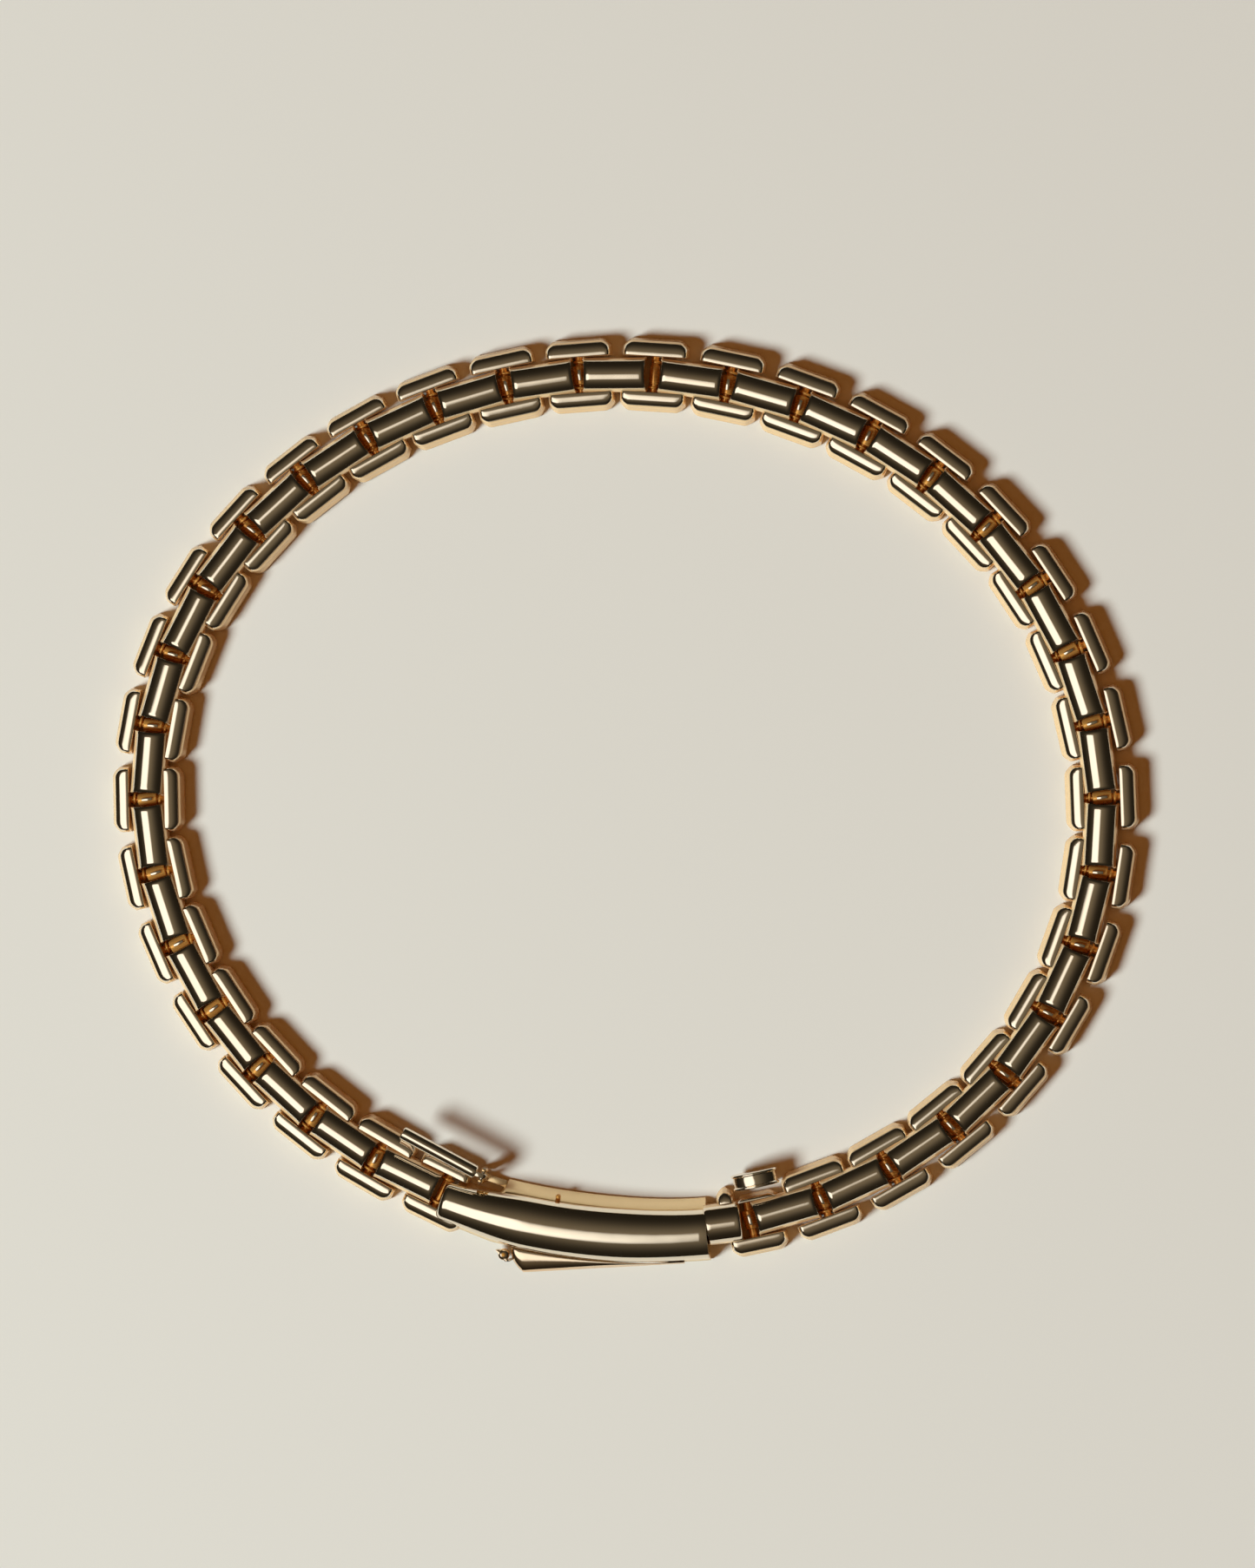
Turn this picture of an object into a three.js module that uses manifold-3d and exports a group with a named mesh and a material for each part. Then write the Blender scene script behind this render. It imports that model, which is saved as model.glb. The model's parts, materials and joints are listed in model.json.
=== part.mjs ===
// A three-row brick-link collar necklace with a curved box clasp, lying closed and face up.
// Millimetres, +Z up. The ring is walked counter-clockwise, so its inside is always on the left.

import * as THREE from 'three';
import { mergeVertices } from 'three/addons/utils/BufferGeometryUtils.js';
import Module from 'manifold-3d';

const wasm = await Module();
wasm.setup();

const degrees = Math.PI / 180;

// Ring laid on the table: a leaning, slightly egg-shaped oval
const ringHalfLength = 67;
const ringHalfWidth = 59.9;
const ringRise = 0.0055;
const ringLean = -0.0116;
const ringEgg = -0.004;
const claspStart = -74.7 * degrees;

// Chain
const linkCount = 34;
const firstHalfCount = 17;
const linkPitch = 10.5;
const linkGap = 1.6;
const chainWidth = 10.3;

// Centre brick: a D section standing above the side rows
const brickWidth = 4.4;
const brickTop = 4.2;
const brickFoot = 0.35;
const brickShoulder = 2.3;

// Side bricks
const sideLength = 9.1;
const sideTop = 3.1;
const sideEdge = 1.7;
const sideFlat = 0.8;
const sideCorner = 1.1;

// Hinges between links
const pinHeight = 1.55;
const pinRadius = 0.6;
const boreGap = 0.27;
const lugWall = 0.28;
const lugWidth = 3;
const pinSeat = 0.6;
const bridgeLength = 2;
const bridgeHeight = 1.4;

// Fits
const moveGap = 0.35;
const restGap = 0.3;
const openPivotGap = 0.8;
const pinClearance = 0.2;

// How far a cut runs past what it cuts, and how far joined shapes reach into each other
const past = 1;
const joinDepth = 0.2;

// Longest facets along the curve of the box
const archStep = 2.4;
const bandStep = 5;

// Box of the clasp, curved like the collar
const boxRadius = 91;
const boxLength = 38.2;
const boxLean = -1.9742 * degrees;
const boxTurn = boxLean - boxLength / boxRadius / 2;
const mouthTurn = boxTurn + boxLength / boxRadius;
const boxStartX = 0.1;
const boxStartY = -1.2;
const neckLength = 6;
const neckWidth = brickWidth + 0.6;

// From the mouth of the box to the hinge of the tongue, which closes the ring
const mouthReach = 6.2744;
const mouthLean = 13.4862 * degrees;
const mouthSpan = boxStartX + boxRadius * (Math.sin(mouthTurn) - Math.sin(boxTurn));
const claspSpan = mouthSpan + mouthReach * Math.cos(mouthTurn + mouthLean);

const baseOuter = 3.3;
const baseInner = 5.3;
const baseHeight = 2.4;
const baseFloor = 0.8;
const baseWall = 0.6;
const ledgeStart = 7.4;
const ledgeChamfer = 1;

const coverWidth = 7.5;
const coverTop = 5.2;
const coverWall = 0.5;
const noseTaper = 0.5;

// Tongue that slides into the box
const tongueTurn = mouthTurn + 2.9484 * degrees;
const headLength = 4.5;
const headWidth = brickWidth + 1.3;
const headTop = 4.8;
const headGap = 1.2;
const bladeLength = 11.6;
const bladeWidth = 2.4;
const bladeThickness = 0.4;
const bladeHeight = 1.3;
const bladeSocket = 1;
const leafLength = 9.5;
const leafThickness = 0.5;
const leafDepth = 0.7;
const leafFoot = 2;
const leafOffset = 0.2;
const leafBarb = 0.5;
const barbLength = 1.2;
const catchLength = 1.6;
const catchDepth = 0.7;

// Thumb button on the inside of the tongue
const buttonLength = 6;
const buttonHeight = 4;
const buttonFoot = 0.15;
const buttonDepth = 2.2;
const buttonWall = 0.5;
const buttonAhead = 1.9;
const buttonOut = 4.3;
const stemRadius = 0.5;
const stemEnd = 3.45;
const housingWall = 1;
const bossDepth = 1.3;

// Safety bar, folded open over the inner row
const barLength = 12.4;
const barWidth = 1.7;
const barThickness = 1;
const barFoot = 4.6;
const barAxisHeight = 4.2;
const barKnuckle = 0.65;
const barKnuckleWidth = 0.6;
const barPinRadius = 0.28;
const barAxisTurn = -14.8 * degrees;
const barLay = -6.8 * degrees;
const barEdge = 0.4;
const barHingeAlong = 4.7;
const barHingeIn = 5.2;
const barShank = 1.1;
const shankReach = 0.3;
const shankGap = 0.1;
const earHalfLength = 0.6;
const earWidth = 0.5;
const padLength = 4;
const padHeight = 1.2;
const innerTrim = 1.75;
const studRadius = 0.35;
const studSeat = 0.9;
const studInset = 0.8;
const studRise = 0.2;

// Side lock lever, along the outside of the box
const leverAlong = 10.2;
const leverOut = 5.15;
const leverTurn = 8.5 * degrees;
const leverLength = boxLength - 12.7;
const leverReach = 2.75;
const leverFoot = 0.9;
const leverTop = 2.4;
const leverKnuckle = 0.85;
const leverPinRadius = 0.28;
const leverPinFoot = 0.05;
const leverHeel = 1.6;
const leverTipIn = 0.4;
const leverTipAlong = 0.3;
const leverTipOut = 0.6;
const leverCorner = 1.2;
const leverArmTrim = 0.1;
const knuckleSides = 10;

const colours = { gold: 0xd9ad62, pin: 0xb98536, spring: 0xc9a25c, inside: 0xc2914a };

function metal(colour, roughness) {
    return new THREE.MeshStandardMaterial({ color: colour, metalness: 1, roughness });
}

const goldFinish = metal(colours.gold, 0.12);
const pinFinish = metal(colours.pin, 0.25);
const springFinish = metal(colours.spring, 0.3);
const insideFinish = metal(colours.inside, 0.3);

// Solids: three.js geometries joined and cut

function solid(geometry) {
    const bare = geometry.clone();
    bare.deleteAttribute('normal');
    bare.deleteAttribute('uv');
    const merged = mergeVertices(bare, 1e-5);
    const vertProperties = new Float32Array(merged.attributes.position.array);
    const triVerts = new Uint32Array(merged.index.array);
    return new wasm.Manifold(new wasm.Mesh({ numProp: 3, vertProperties, triVerts }));
}

function geometryOf(manifold) {
    const mesh = manifold.getMesh();
    const geometry = new THREE.BufferGeometry();
    geometry.setAttribute('position', new THREE.BufferAttribute(new Float32Array(mesh.vertProperties), 3));
    geometry.setIndex(new THREE.BufferAttribute(new Uint32Array(mesh.triVerts), 1));
    return geometry;
}

function piece(name, manifold, material) {
    const geometry = geometryOf(manifold).toNonIndexed();
    geometry.computeVertexNormals();
    const mesh = new THREE.Mesh(geometry, material);
    mesh.name = name;
    return mesh;
}

function box(x0, x1, y0, y1, z0, z1) {
    const geometry = new THREE.BoxGeometry(x1 - x0, y1 - y0, z1 - z0);
    return solid(geometry.translate((x0 + x1) / 2, (y0 + y1) / 2, (z0 + z1) / 2));
}

// A plan outline raised from z0 to z1
function raised(shape, z0, z1, segments = 6) {
    const geometry = new THREE.ExtrudeGeometry(shape, { depth: z1 - z0, bevelEnabled: false, curveSegments: segments });
    return solid(geometry.translate(0, 0, z0));
}

// A cross-section in y and z drawn out along x from x0 to x1
function drawnOut(section, x0, x1, segments = 5) {
    const geometry = new THREE.ExtrudeGeometry(section, { depth: x1 - x0, bevelEnabled: false, curveSegments: segments });
    const turn = new THREE.Matrix4().makeBasis(
        new THREE.Vector3(0, 1, 0), new THREE.Vector3(0, 0, 1), new THREE.Vector3(1, 0, 0));
    return solid(geometry.applyMatrix4(turn).translate(x0, 0, 0));
}

// A round bar along y, turned by an angle about z
function crossBar(x, z, radius, y0, y1, sides, turn = 0) {
    const geometry = new THREE.CylinderGeometry(radius, radius, y1 - y0, sides);
    geometry.translate(0, (y0 + y1) / 2, 0);
    return solid(geometry.rotateZ(turn).translate(x, 0, z));
}

// A round post along z
function post(x, y, radius, z0, z1, sides) {
    const geometry = new THREE.CylinderGeometry(radius, radius, z1 - z0, sides);
    geometry.rotateX(Math.PI / 2);
    return solid(geometry.translate(x, y, (z0 + z1) / 2));
}

function turned(manifold, angle, x = 0, y = 0) {
    return manifold.rotate([0, 0, angle / degrees]).translate([x, y, 0]);
}

// Radius of a polygon whose flats stay outside a circle
function flatsOutside(radius, sides) {
    return radius / Math.cos(Math.PI / sides);
}

const pinSides = 8;
const boreSides = 8;
const boreRadius = flatsOutside(pinRadius + boreGap, boreSides);
const lugRadius = pinRadius + boreGap + lugWall;
const recessRadius = flatsOutside(lugRadius + restGap, boreSides);
const sideInner = brickWidth / 2 + moveGap;
const sideOuter = chainWidth / 2;
const brickLength = linkPitch - linkGap;

// A D section: upright walls and an arched top
function domeSection(width, foot, shoulder, top) {
    const half = width / 2;
    const section = new THREE.Shape();
    section.moveTo(-half, foot);
    section.lineTo(half, foot);
    section.lineTo(half, shoulder);
    section.absellipse(0, shoulder, half, top - shoulder, 0, Math.PI, false, 0);
    section.closePath();
    return section;
}

// One side brick in the frame of its hinge pin, on the inner side of the chain
function sideBrick(back = sideLength / 2, front = sideLength / 2, inner = sideInner, outer = sideOuter) {
    const section = new THREE.Shape();
    section.moveTo(inner, 0);
    section.lineTo(outer, 0);
    section.lineTo(outer, sideEdge);
    section.quadraticCurveTo(outer, sideTop, Math.min(inner + sideFlat, outer - sideFlat / 8), sideTop);
    section.lineTo(inner, sideTop);
    section.closePath();
    const plan = new THREE.Shape();
    plan.moveTo(-back, inner);
    plan.lineTo(front, inner);
    plan.lineTo(front, outer - sideCorner);
    plan.lineTo(front - sideCorner, outer);
    plan.lineTo(sideCorner - back, outer);
    plan.lineTo(-back, outer - sideCorner);
    plan.closePath();
    return drawnOut(section, -back, front, 2).intersect(raised(plan, 0, sideTop));
}

function mirrored(manifold) {
    return manifold.mirror([0, 1, 0]);
}

// Space swept by a centre brick between the side bricks
function brickRoom(gap) {
    const half = brickWidth / 2 + gap;
    return box(-linkGap / 3, linkPitch, -half, half, -past, brickTop + past);
}

function lug(x, turn) {
    return crossBar(x, pinHeight, lugRadius, -lugWidth / 2, lugWidth / 2, boreSides, turn);
}

function bore(x, turn) {
    return crossBar(x, pinHeight, boreRadius, -chainWidth / 2, chainWidth / 2, boreSides, turn);
}

function centreBrick(rearGap = linkGap / 2) {
    const section = domeSection(brickWidth, brickFoot, brickShoulder, brickTop);
    return drawnOut(section, rearGap - linkPitch, -linkGap / 2, 3);
}

// A link in the frame of its front hinge: centre brick behind, side pair across the hinge.
// rearTurn and frontTurn are the angles that the chain bends by at the two hinges.
function linkSolid({ rearTurn, frontTurn, rearLug, gap }) {
    const frontRecess = box(-recessRadius, past, -brickWidth, brickWidth, -past, pinHeight + recessRadius);
    const rearGap = rearLug ? linkGap / 2 : pinRadius + openPivotGap;
    let link = centreBrick(rearGap).subtract(frontRecess);
    if (rearLug) {
        link = link.add(lug(-linkPitch, -rearTurn / 2)).subtract(bore(-linkPitch, -rearTurn / 2));
    }
    const bridgeMiddle = -sideLength / 4 - linkGap / 2;
    const bridgeLow = pinHeight - bridgeHeight / 2;
    const bridge = box(
        bridgeMiddle - bridgeLength / 2, bridgeMiddle + bridgeLength / 2,
        -sideInner - pinSeat, sideInner + pinSeat, bridgeLow, bridgeLow + bridgeHeight);
    const pin = crossBar(0, pinHeight, pinRadius, -sideInner - pinSeat, sideInner + pinSeat, pinSides);
    const nextRoom = turned(brickRoom(gap), frontTurn / 2);
    const sides = sideBrick().add(mirrored(sideBrick())).subtract(nextRoom);
    return link.add(bridge).add(turned(sides.add(pin), frontTurn / 2));
}

// The last link has a lug at both ends and no side bricks of its own
function endLinkSolid({ rearTurn, frontTurn }) {
    const rear = lug(-linkPitch, -rearTurn / 2);
    const front = lug(0, frontTurn / 2);
    const body = centreBrick().add(rear).add(front);
    return body.subtract(bore(-linkPitch, -rearTurn / 2)).subtract(bore(0, frontTurn / 2));
}

// Ring: hinges walked at a constant pitch round the oval, whose size is set so that the clasp closes it

function ringPoint(turn, scale) {
    const swell = 1 + ringRise * Math.sin(turn) + ringLean * Math.sin(2 * turn) + ringEgg * Math.cos(3 * turn);
    const x = scale * ringHalfLength * swell * Math.cos(turn);
    const y = scale * ringHalfWidth * swell * Math.sin(turn);
    return new THREE.Vector2(x, y);
}

function solve(low, high, isBelow) {
    let [a, b] = [low, high];
    for (let step = 0; step < 60; step += 1) {
        const middle = (a + b) / 2;
        if (isBelow(middle)) a = middle;
        else b = middle;
    }
    return (a + b) / 2;
}

function walkRing(scale) {
    const points = [ringPoint(claspStart, scale)];
    let turn = claspStart;
    for (let step = 0; step < linkCount; step += 1) {
        const from = points[step];
        turn = solve(turn, turn + Math.PI / 4, (t) => ringPoint(t, scale).distanceTo(from) < linkPitch);
        points.push(ringPoint(turn, scale));
    }
    return points;
}

const wantedRadius = (linkCount * linkPitch + claspSpan) / (2 * Math.PI);
const meanRadius = (ringHalfLength + ringHalfWidth) / 2;
const roughScale = wantedRadius / meanRadius;
const ringScale = solve(0.9 * roughScale, 1.15 * roughScale, (scale) => {
    const points = walkRing(scale);
    return points[linkCount].distanceTo(points[0]) < claspSpan;
});
const hinges = walkRing(ringScale);

function headingBetween(from, to) {
    return Math.atan2(to.y - from.y, to.x - from.x);
}

function bend(from, to) {
    const difference = to - from;
    return Math.atan2(Math.sin(difference), Math.cos(difference));
}

const claspHeading = headingBetween(hinges[linkCount], hinges[0]);
const headings = [claspHeading + tongueTurn];
for (let index = 1; index <= linkCount; index += 1) {
    headings.push(headingBetween(hinges[index - 1], hinges[index]));
}
const bends = [];
for (let index = 0; index < linkCount; index += 1) {
    bends.push(bend(headings[index], headings[index + 1]));
}
bends.push(0);

const necklace = new THREE.Group();

function linkName(index) {
    return `link_${String(index).padStart(2, '0')}`;
}

for (let index = 1; index <= linkCount; index += 1) {
    const turns = { rearTurn: bends[index - 1], frontTurn: bends[index] };
    const isLast = index === linkCount;
    const rearLug = index !== firstHalfCount + 1;
    const gap = index === firstHalfCount ? openPivotGap : moveGap;
    const shape = isLast ? endLinkSolid(turns) : linkSolid({ ...turns, rearLug, gap });
    const mesh = piece(linkName(index), shape, goldFinish);
    mesh.position.set(hinges[index].x, hinges[index].y, 0);
    mesh.rotation.z = headings[index];
    necklace.add(mesh);
}

// Clasp, in the frame of the hinge at its left end: x towards the other end hinge, y to the ring's inside

const clasp = new THREE.Group();
clasp.position.set(hinges[linkCount].x, hinges[linkCount].y, 0);
clasp.rotation.z = claspHeading;
necklace.add(clasp);

const lastLay = bend(claspHeading, headings[linkCount]);
const boxCentre = new THREE.Vector2(
    boxStartX - boxRadius * Math.sin(boxTurn), boxStartY + boxRadius * Math.cos(boxTurn));

// Point at a distance along the box's centre line and a distance to the inside of it
function boxPoint(along, inward) {
    const heading = boxTurn + along / boxRadius;
    const reach = boxRadius - inward;
    return new THREE.Vector2(boxCentre.x + reach * Math.sin(heading), boxCentre.y - reach * Math.cos(heading));
}

function boxAngle(along) {
    return boxTurn + along / boxRadius - Math.PI / 2;
}

// Plan outline of a stretch of the box between two offsets
function band(from, to, outward, inward) {
    const shape = new THREE.Shape();
    shape.absarc(boxCentre.x, boxCentre.y, boxRadius - outward, boxAngle(from), boxAngle(to), false);
    shape.absarc(boxCentre.x, boxCentre.y, boxRadius - inward, boxAngle(to), boxAngle(from), true);
    shape.closePath();
    return shape;
}

function boxSolid(from, to, outward, inward, z0, z1) {
    return raised(band(from, to, outward, inward), z0, z1, Math.ceil((to - from) / bandStep));
}

class BoxLine extends THREE.Curve {
    constructor(from, to) {
        super();
        this.from = from;
        this.to = to;
    }
    getPoint(share, target = new THREE.Vector3()) {
        const point = boxPoint(this.from + share * (this.to - this.from), 0);
        return target.set(point.x, point.y, 0);
    }
}

// Half-oval section swept along the box; the section's x runs downwards
function domeAlongBox(from, to, width, foot, top) {
    const half = width / 2;
    const section = new THREE.Shape();
    section.absellipse(-foot, 0, top - foot, half, Math.PI / 2, 3 * Math.PI / 2, false, 0);
    section.closePath();
    const steps = Math.ceil((to - from) / archStep);
    const options = { steps, extrudePath: new BoxLine(from, to), bevelEnabled: false, curveSegments: 7 };
    return solid(new THREE.ExtrudeGeometry(section, options));
}

// Room left for the side bricks that flank the neck
const trimmedFront = sideLength / 2 - innerTrim;
function sideRoom(front) {
    return box(
        -sideLength, front + restGap, sideInner - restGap, sideOuter + restGap, -past, sideTop + restGap);
}
const neckRoom = turned(sideRoom(trimmedFront).add(mirrored(sideRoom(sideLength / 2))), lastLay);
const endLugRoom = crossBar(0, pinHeight, lugRadius + moveGap, -sideInner, sideInner, boreSides, lastLay);

function coverOutline() {
    const half = coverWidth / 2;
    const neck = neckWidth / 2;
    const shape = new THREE.Shape();
    const start = boxPoint(0, -neck + 2 * noseTaper);
    shape.moveTo(start.x, start.y);
    const outerShoulder = boxPoint(neckLength / 3, -neck - noseTaper);
    const outerFull = boxPoint(neckLength, -half);
    shape.quadraticCurveTo(outerShoulder.x, outerShoulder.y, outerFull.x, outerFull.y);
    shape.absarc(boxCentre.x, boxCentre.y, boxRadius + half, boxAngle(neckLength), boxAngle(boxLength), false);
    shape.absarc(boxCentre.x, boxCentre.y, boxRadius - half, boxAngle(boxLength), boxAngle(neckLength), true);
    const innerShoulder = boxPoint(neckLength / 3, neck + noseTaper);
    const innerStart = boxPoint(0, neck - noseTaper);
    shape.quadraticCurveTo(innerShoulder.x, innerShoulder.y, innerStart.x, innerStart.y);
    shape.closePath();
    return shape;
}

const coverFoot = baseHeight + restGap;
function coverSolid() {
    const outside = domeAlongBox(0, boxLength, coverWidth, coverFoot, coverTop);
    const hollowWidth = coverWidth - 2 * coverWall;
    const hollowTop = coverTop - coverWall;
    const hollow = domeAlongBox(neckLength, boxLength + past, hollowWidth, coverFoot - joinDepth, hollowTop);
    const outline = raised(coverOutline(), 0, coverTop + past, 5);
    return outside.intersect(outline).subtract(hollow).subtract(neckRoom).subtract(endLugRoom);
}

// Base: floor, outer wall, wide inner ledge, and the lugs of the two safety pieces
const barSpot = boxPoint(barHingeAlong, barHingeIn);
const leverSpot = boxPoint(leverAlong, -leverOut);
const lugTop = leverFoot - restGap;

function placedAtBar(manifold) {
    return turned(manifold, barAxisTurn, barSpot.x, barSpot.y);
}

function placedAtLever(manifold, angle = 0) {
    return turned(manifold, angle, leverSpot.x, leverSpot.y);
}

function pinRoom(radius) {
    return flatsOutside(radius + pinClearance, pinSides);
}

function safetyEars() {
    const earInner = barKnuckleWidth / 2 + restGap;
    const earTop = barAxisHeight + earHalfLength;
    const near = box(-earHalfLength, earHalfLength, earInner, earInner + earWidth, 0, earTop);
    const pad = box(-earHalfLength, padLength, -earInner - earWidth, earInner + earWidth, 0, padHeight);
    const pinHole = crossBar(0, barAxisHeight, pinRoom(barPinRadius), -barWidth, barWidth, pinSides);
    return placedAtBar(near.add(mirrored(near)).add(pad).subtract(pinHole));
}

function leverSeat() {
    const lugPost = placedAtLever(post(0, 0, leverKnuckle, 0, lugTop, knuckleSides));
    const half = leverKnuckle - leverArmTrim;
    const arm = boxSolid(leverAlong - half, leverAlong + half, -leverOut, -baseOuter + baseWall / 2, 0, lugTop);
    const pinHole = placedAtLever(post(0, 0, pinRoom(leverPinRadius), -past, lugTop + past, pinSides));
    return lugPost.add(arm).subtract(pinHole);
}

const studAlong = barHingeAlong + barLength - studInset;
const studIn = barHingeIn - studInset;
const studSpot = boxPoint(studAlong, studIn);

function baseSolid() {
    const ledge = boxSolid(ledgeStart, boxLength, -baseOuter, baseInner, 0, baseHeight);
    const neck = boxSolid(lugRadius + moveGap, ledgeStart + past, -baseOuter, coverWidth / 2, 0, baseHeight);
    const channel = boxSolid(
        neckLength, boxLength + past, baseWall - baseOuter, coverWidth / 2 - baseWall, baseFloor, baseHeight + past);
    const corner = boxPoint(ledgeStart, baseInner);
    const half = ledgeChamfer / Math.SQRT2;
    const chamfer = turned(
        box(-half, half, -half, half, -past, baseHeight + past), 45 * degrees + boxTurn, corner.x, corner.y);
    const studHole = post(
        studSpot.x, studSpot.y, pinRoom(studRadius), baseHeight - studSeat, baseHeight + past, pinSides);
    const body = ledge.subtract(chamfer).add(neck).add(safetyEars());
    const cleared = body.subtract(channel).subtract(neckRoom).subtract(endLugRoom).subtract(studHole);
    return cleared.add(leverSeat());
}

// Safety bar: knuckle on the pin, short shank, and the bar itself folded back over the chain
function safetyBarSolid() {
    const half = barKnuckleWidth / 2;
    const knuckle = crossBar(0, barAxisHeight, barKnuckle, -half, half, knuckleSides);
    const shankTop = barFoot + barEdge + joinDepth;
    const shank = box(-barShank - shankReach, 0, -half, half, barAxisHeight + shankGap, shankTop);
    const section = domeSection(barWidth, barFoot, barFoot + barEdge, barFoot + barThickness);
    const bar = turned(drawnOut(section, -barLength, -barShank, 2), barLay);
    const hole = crossBar(0, barAxisHeight, pinRoom(barPinRadius), -barWidth, barWidth, pinSides);
    return placedAtBar(knuckle.add(shank).subtract(hole).add(bar));
}

function safetyPinSolid() {
    const half = barKnuckleWidth / 2 + restGap + earWidth;
    return placedAtBar(crossBar(0, barAxisHeight, barPinRadius, -half, half, pinSides));
}

// Lock lever: straight outside, and following the base wall on its inside
function lockLeverSolid() {
    const outline = new THREE.Shape();
    outline.moveTo(0, leverTipIn);
    outline.lineTo(leverTipAlong, -leverTipOut);
    outline.quadraticCurveTo(leverHeel, -leverReach, leverHeel + leverCorner, -leverReach);
    outline.lineTo(leverLength, -leverReach);
    outline.lineTo(leverLength, leverReach);
    outline.lineTo(leverHeel, leverReach);
    outline.closePath();
    const blank = placedAtLever(raised(outline, leverFoot, leverTop, 4), leverTurn);
    const wallRoom = boxSolid(
        neckLength, boxLength + 2 * past, -baseOuter - restGap, baseInner, -past, leverTop + past);
    const knuckle = placedAtLever(post(0, 0, leverKnuckle, leverFoot, leverTop, knuckleSides));
    const hole = placedAtLever(post(0, 0, pinRoom(leverPinRadius), -past, leverTop + past, pinSides));
    return blank.subtract(wallRoom).add(knuckle).subtract(hole);
}

// Tongue, in the frame of the hinge at its outer end

const tongue = new THREE.Group();
tongue.position.set(claspSpan, 0, 0);
tongue.rotation.z = tongueTurn;
clasp.add(tongue);

const headLay = bends[0] / 2;
const headStart = -headGap - headLength;

function tongueHeadSolid() {
    const section = domeSection(headWidth, brickFoot, brickShoulder, headTop);
    const recess = crossBar(0, pinHeight, recessRadius, -headWidth, headWidth, boreSides);
    const half = bladeWidth / 2 + restGap;
    const socket = box(
        headStart - past, headStart + bladeSocket + restGap, -half, half,
        bladeHeight - restGap, bladeHeight + bladeThickness + restGap);
    return drawnOut(section, headStart, -headGap, 4).subtract(recess).subtract(socket);
}

function bladeSolid() {
    const end = headStart + bladeSocket;
    const tip = new THREE.Shape();
    const half = bladeWidth / 2;
    tip.moveTo(end, -half);
    tip.lineTo(end, half);
    tip.lineTo(headStart - bladeLength + half, half);
    tip.absarc(headStart - bladeLength + half, 0, half, Math.PI / 2, 3 * Math.PI / 2, false);
    tip.closePath();
    return raised(tip, bladeHeight, bladeHeight + bladeThickness, 5);
}

const leafStart = headStart - restGap;
const barbFace = leafOffset + leafThickness / 2 + leafBarb;

function leafSolid() {
    const near = leafOffset - leafThickness / 2;
    const far = leafOffset + leafThickness / 2;
    const end = leafStart - leafLength;
    const outline = new THREE.Shape();
    outline.moveTo(leafStart, near);
    outline.lineTo(leafStart, far);
    outline.lineTo(end + barbLength, far);
    outline.lineTo(end + barbLength, barbFace);
    outline.lineTo(end, far);
    outline.lineTo(end, near);
    outline.closePath();
    return raised(outline, leafFoot, leafFoot + leafDepth);
}

// The block that the barb hooks behind stands in the box, so it stays when the tongue slides out
function catchSolid() {
    const start = leafStart - leafLength + barbLength + restGap;
    const near = barbFace + restGap;
    const top = Math.min(leafFoot + leafDepth, baseHeight);
    const block = box(start, start + catchLength, near, near + catchDepth, baseFloor + restGap, top);
    return turned(block, tongueTurn, claspSpan, 0);
}

// Room for the head and for the first link beside the tongue's side bricks
function headRoom() {
    const half = headWidth / 2 + restGap;
    return box(-linkPitch, -headGap + restGap, -half, half, -past, headTop + past);
}

const pinEnd = sideInner + pinSeat + restGap;

function tongueSideBrick(brick, room) {
    const pinHole = crossBar(0, pinHeight, boreRadius, -pinEnd, pinEnd, boreSides, headLay);
    return turned(brick, headLay).subtract(headRoom()).subtract(room).subtract(pinHole);
}

const firstLinkRoom = turned(brickRoom(moveGap), bends[0]);

function oval(length, height, middle) {
    const straight = (length - height) / 2;
    const shape = new THREE.Shape();
    shape.absarc(straight, middle, height / 2, -Math.PI / 2, Math.PI / 2, false);
    shape.absarc(-straight, middle, height / 2, Math.PI / 2, 3 * Math.PI / 2, false);
    shape.closePath();
    return shape;
}

// An outline in x and z drawn out along y
function drawnInward(shape, y0, y1, segments) {
    const geometry = new THREE.ExtrudeGeometry(shape, { depth: y1 - y0, bevelEnabled: false, curveSegments: segments });
    return solid(geometry.rotateX(Math.PI / 2).translate(0, y1, 0));
}

const buttonMiddle = buttonFoot + buttonHeight / 2;
const bossTrim = 2 * (buttonWall + restGap);

function placedAtButton(manifold) {
    return turned(manifold.translate([buttonAhead, 0, 0]), headLay);
}

function ovalBlock(length, height, y0, y1) {
    return placedAtButton(drawnInward(oval(length, height, buttonMiddle), y0, y1, 4));
}

function housingSolid() {
    const wall = sideInner + housingWall;
    const half = buttonLength / 2 + moveGap;
    const buttonRoom = placedAtButton(box(-half, half, wall, sideOuter + past, -past, sideTop + past));
    const boss = ovalBlock(buttonLength - bossTrim, buttonHeight - bossTrim, wall - joinDepth, wall + bossDepth);
    const stemHole = placedAtButton(
        crossBar(0, buttonMiddle, pinRoom(stemRadius), 0, chainWidth, pinSides));
    const brick = tongueSideBrick(sideBrick().subtract(turned(buttonRoom, -headLay)), firstLinkRoom);
    return brick.add(boss).subtract(stemHole);
}

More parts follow.
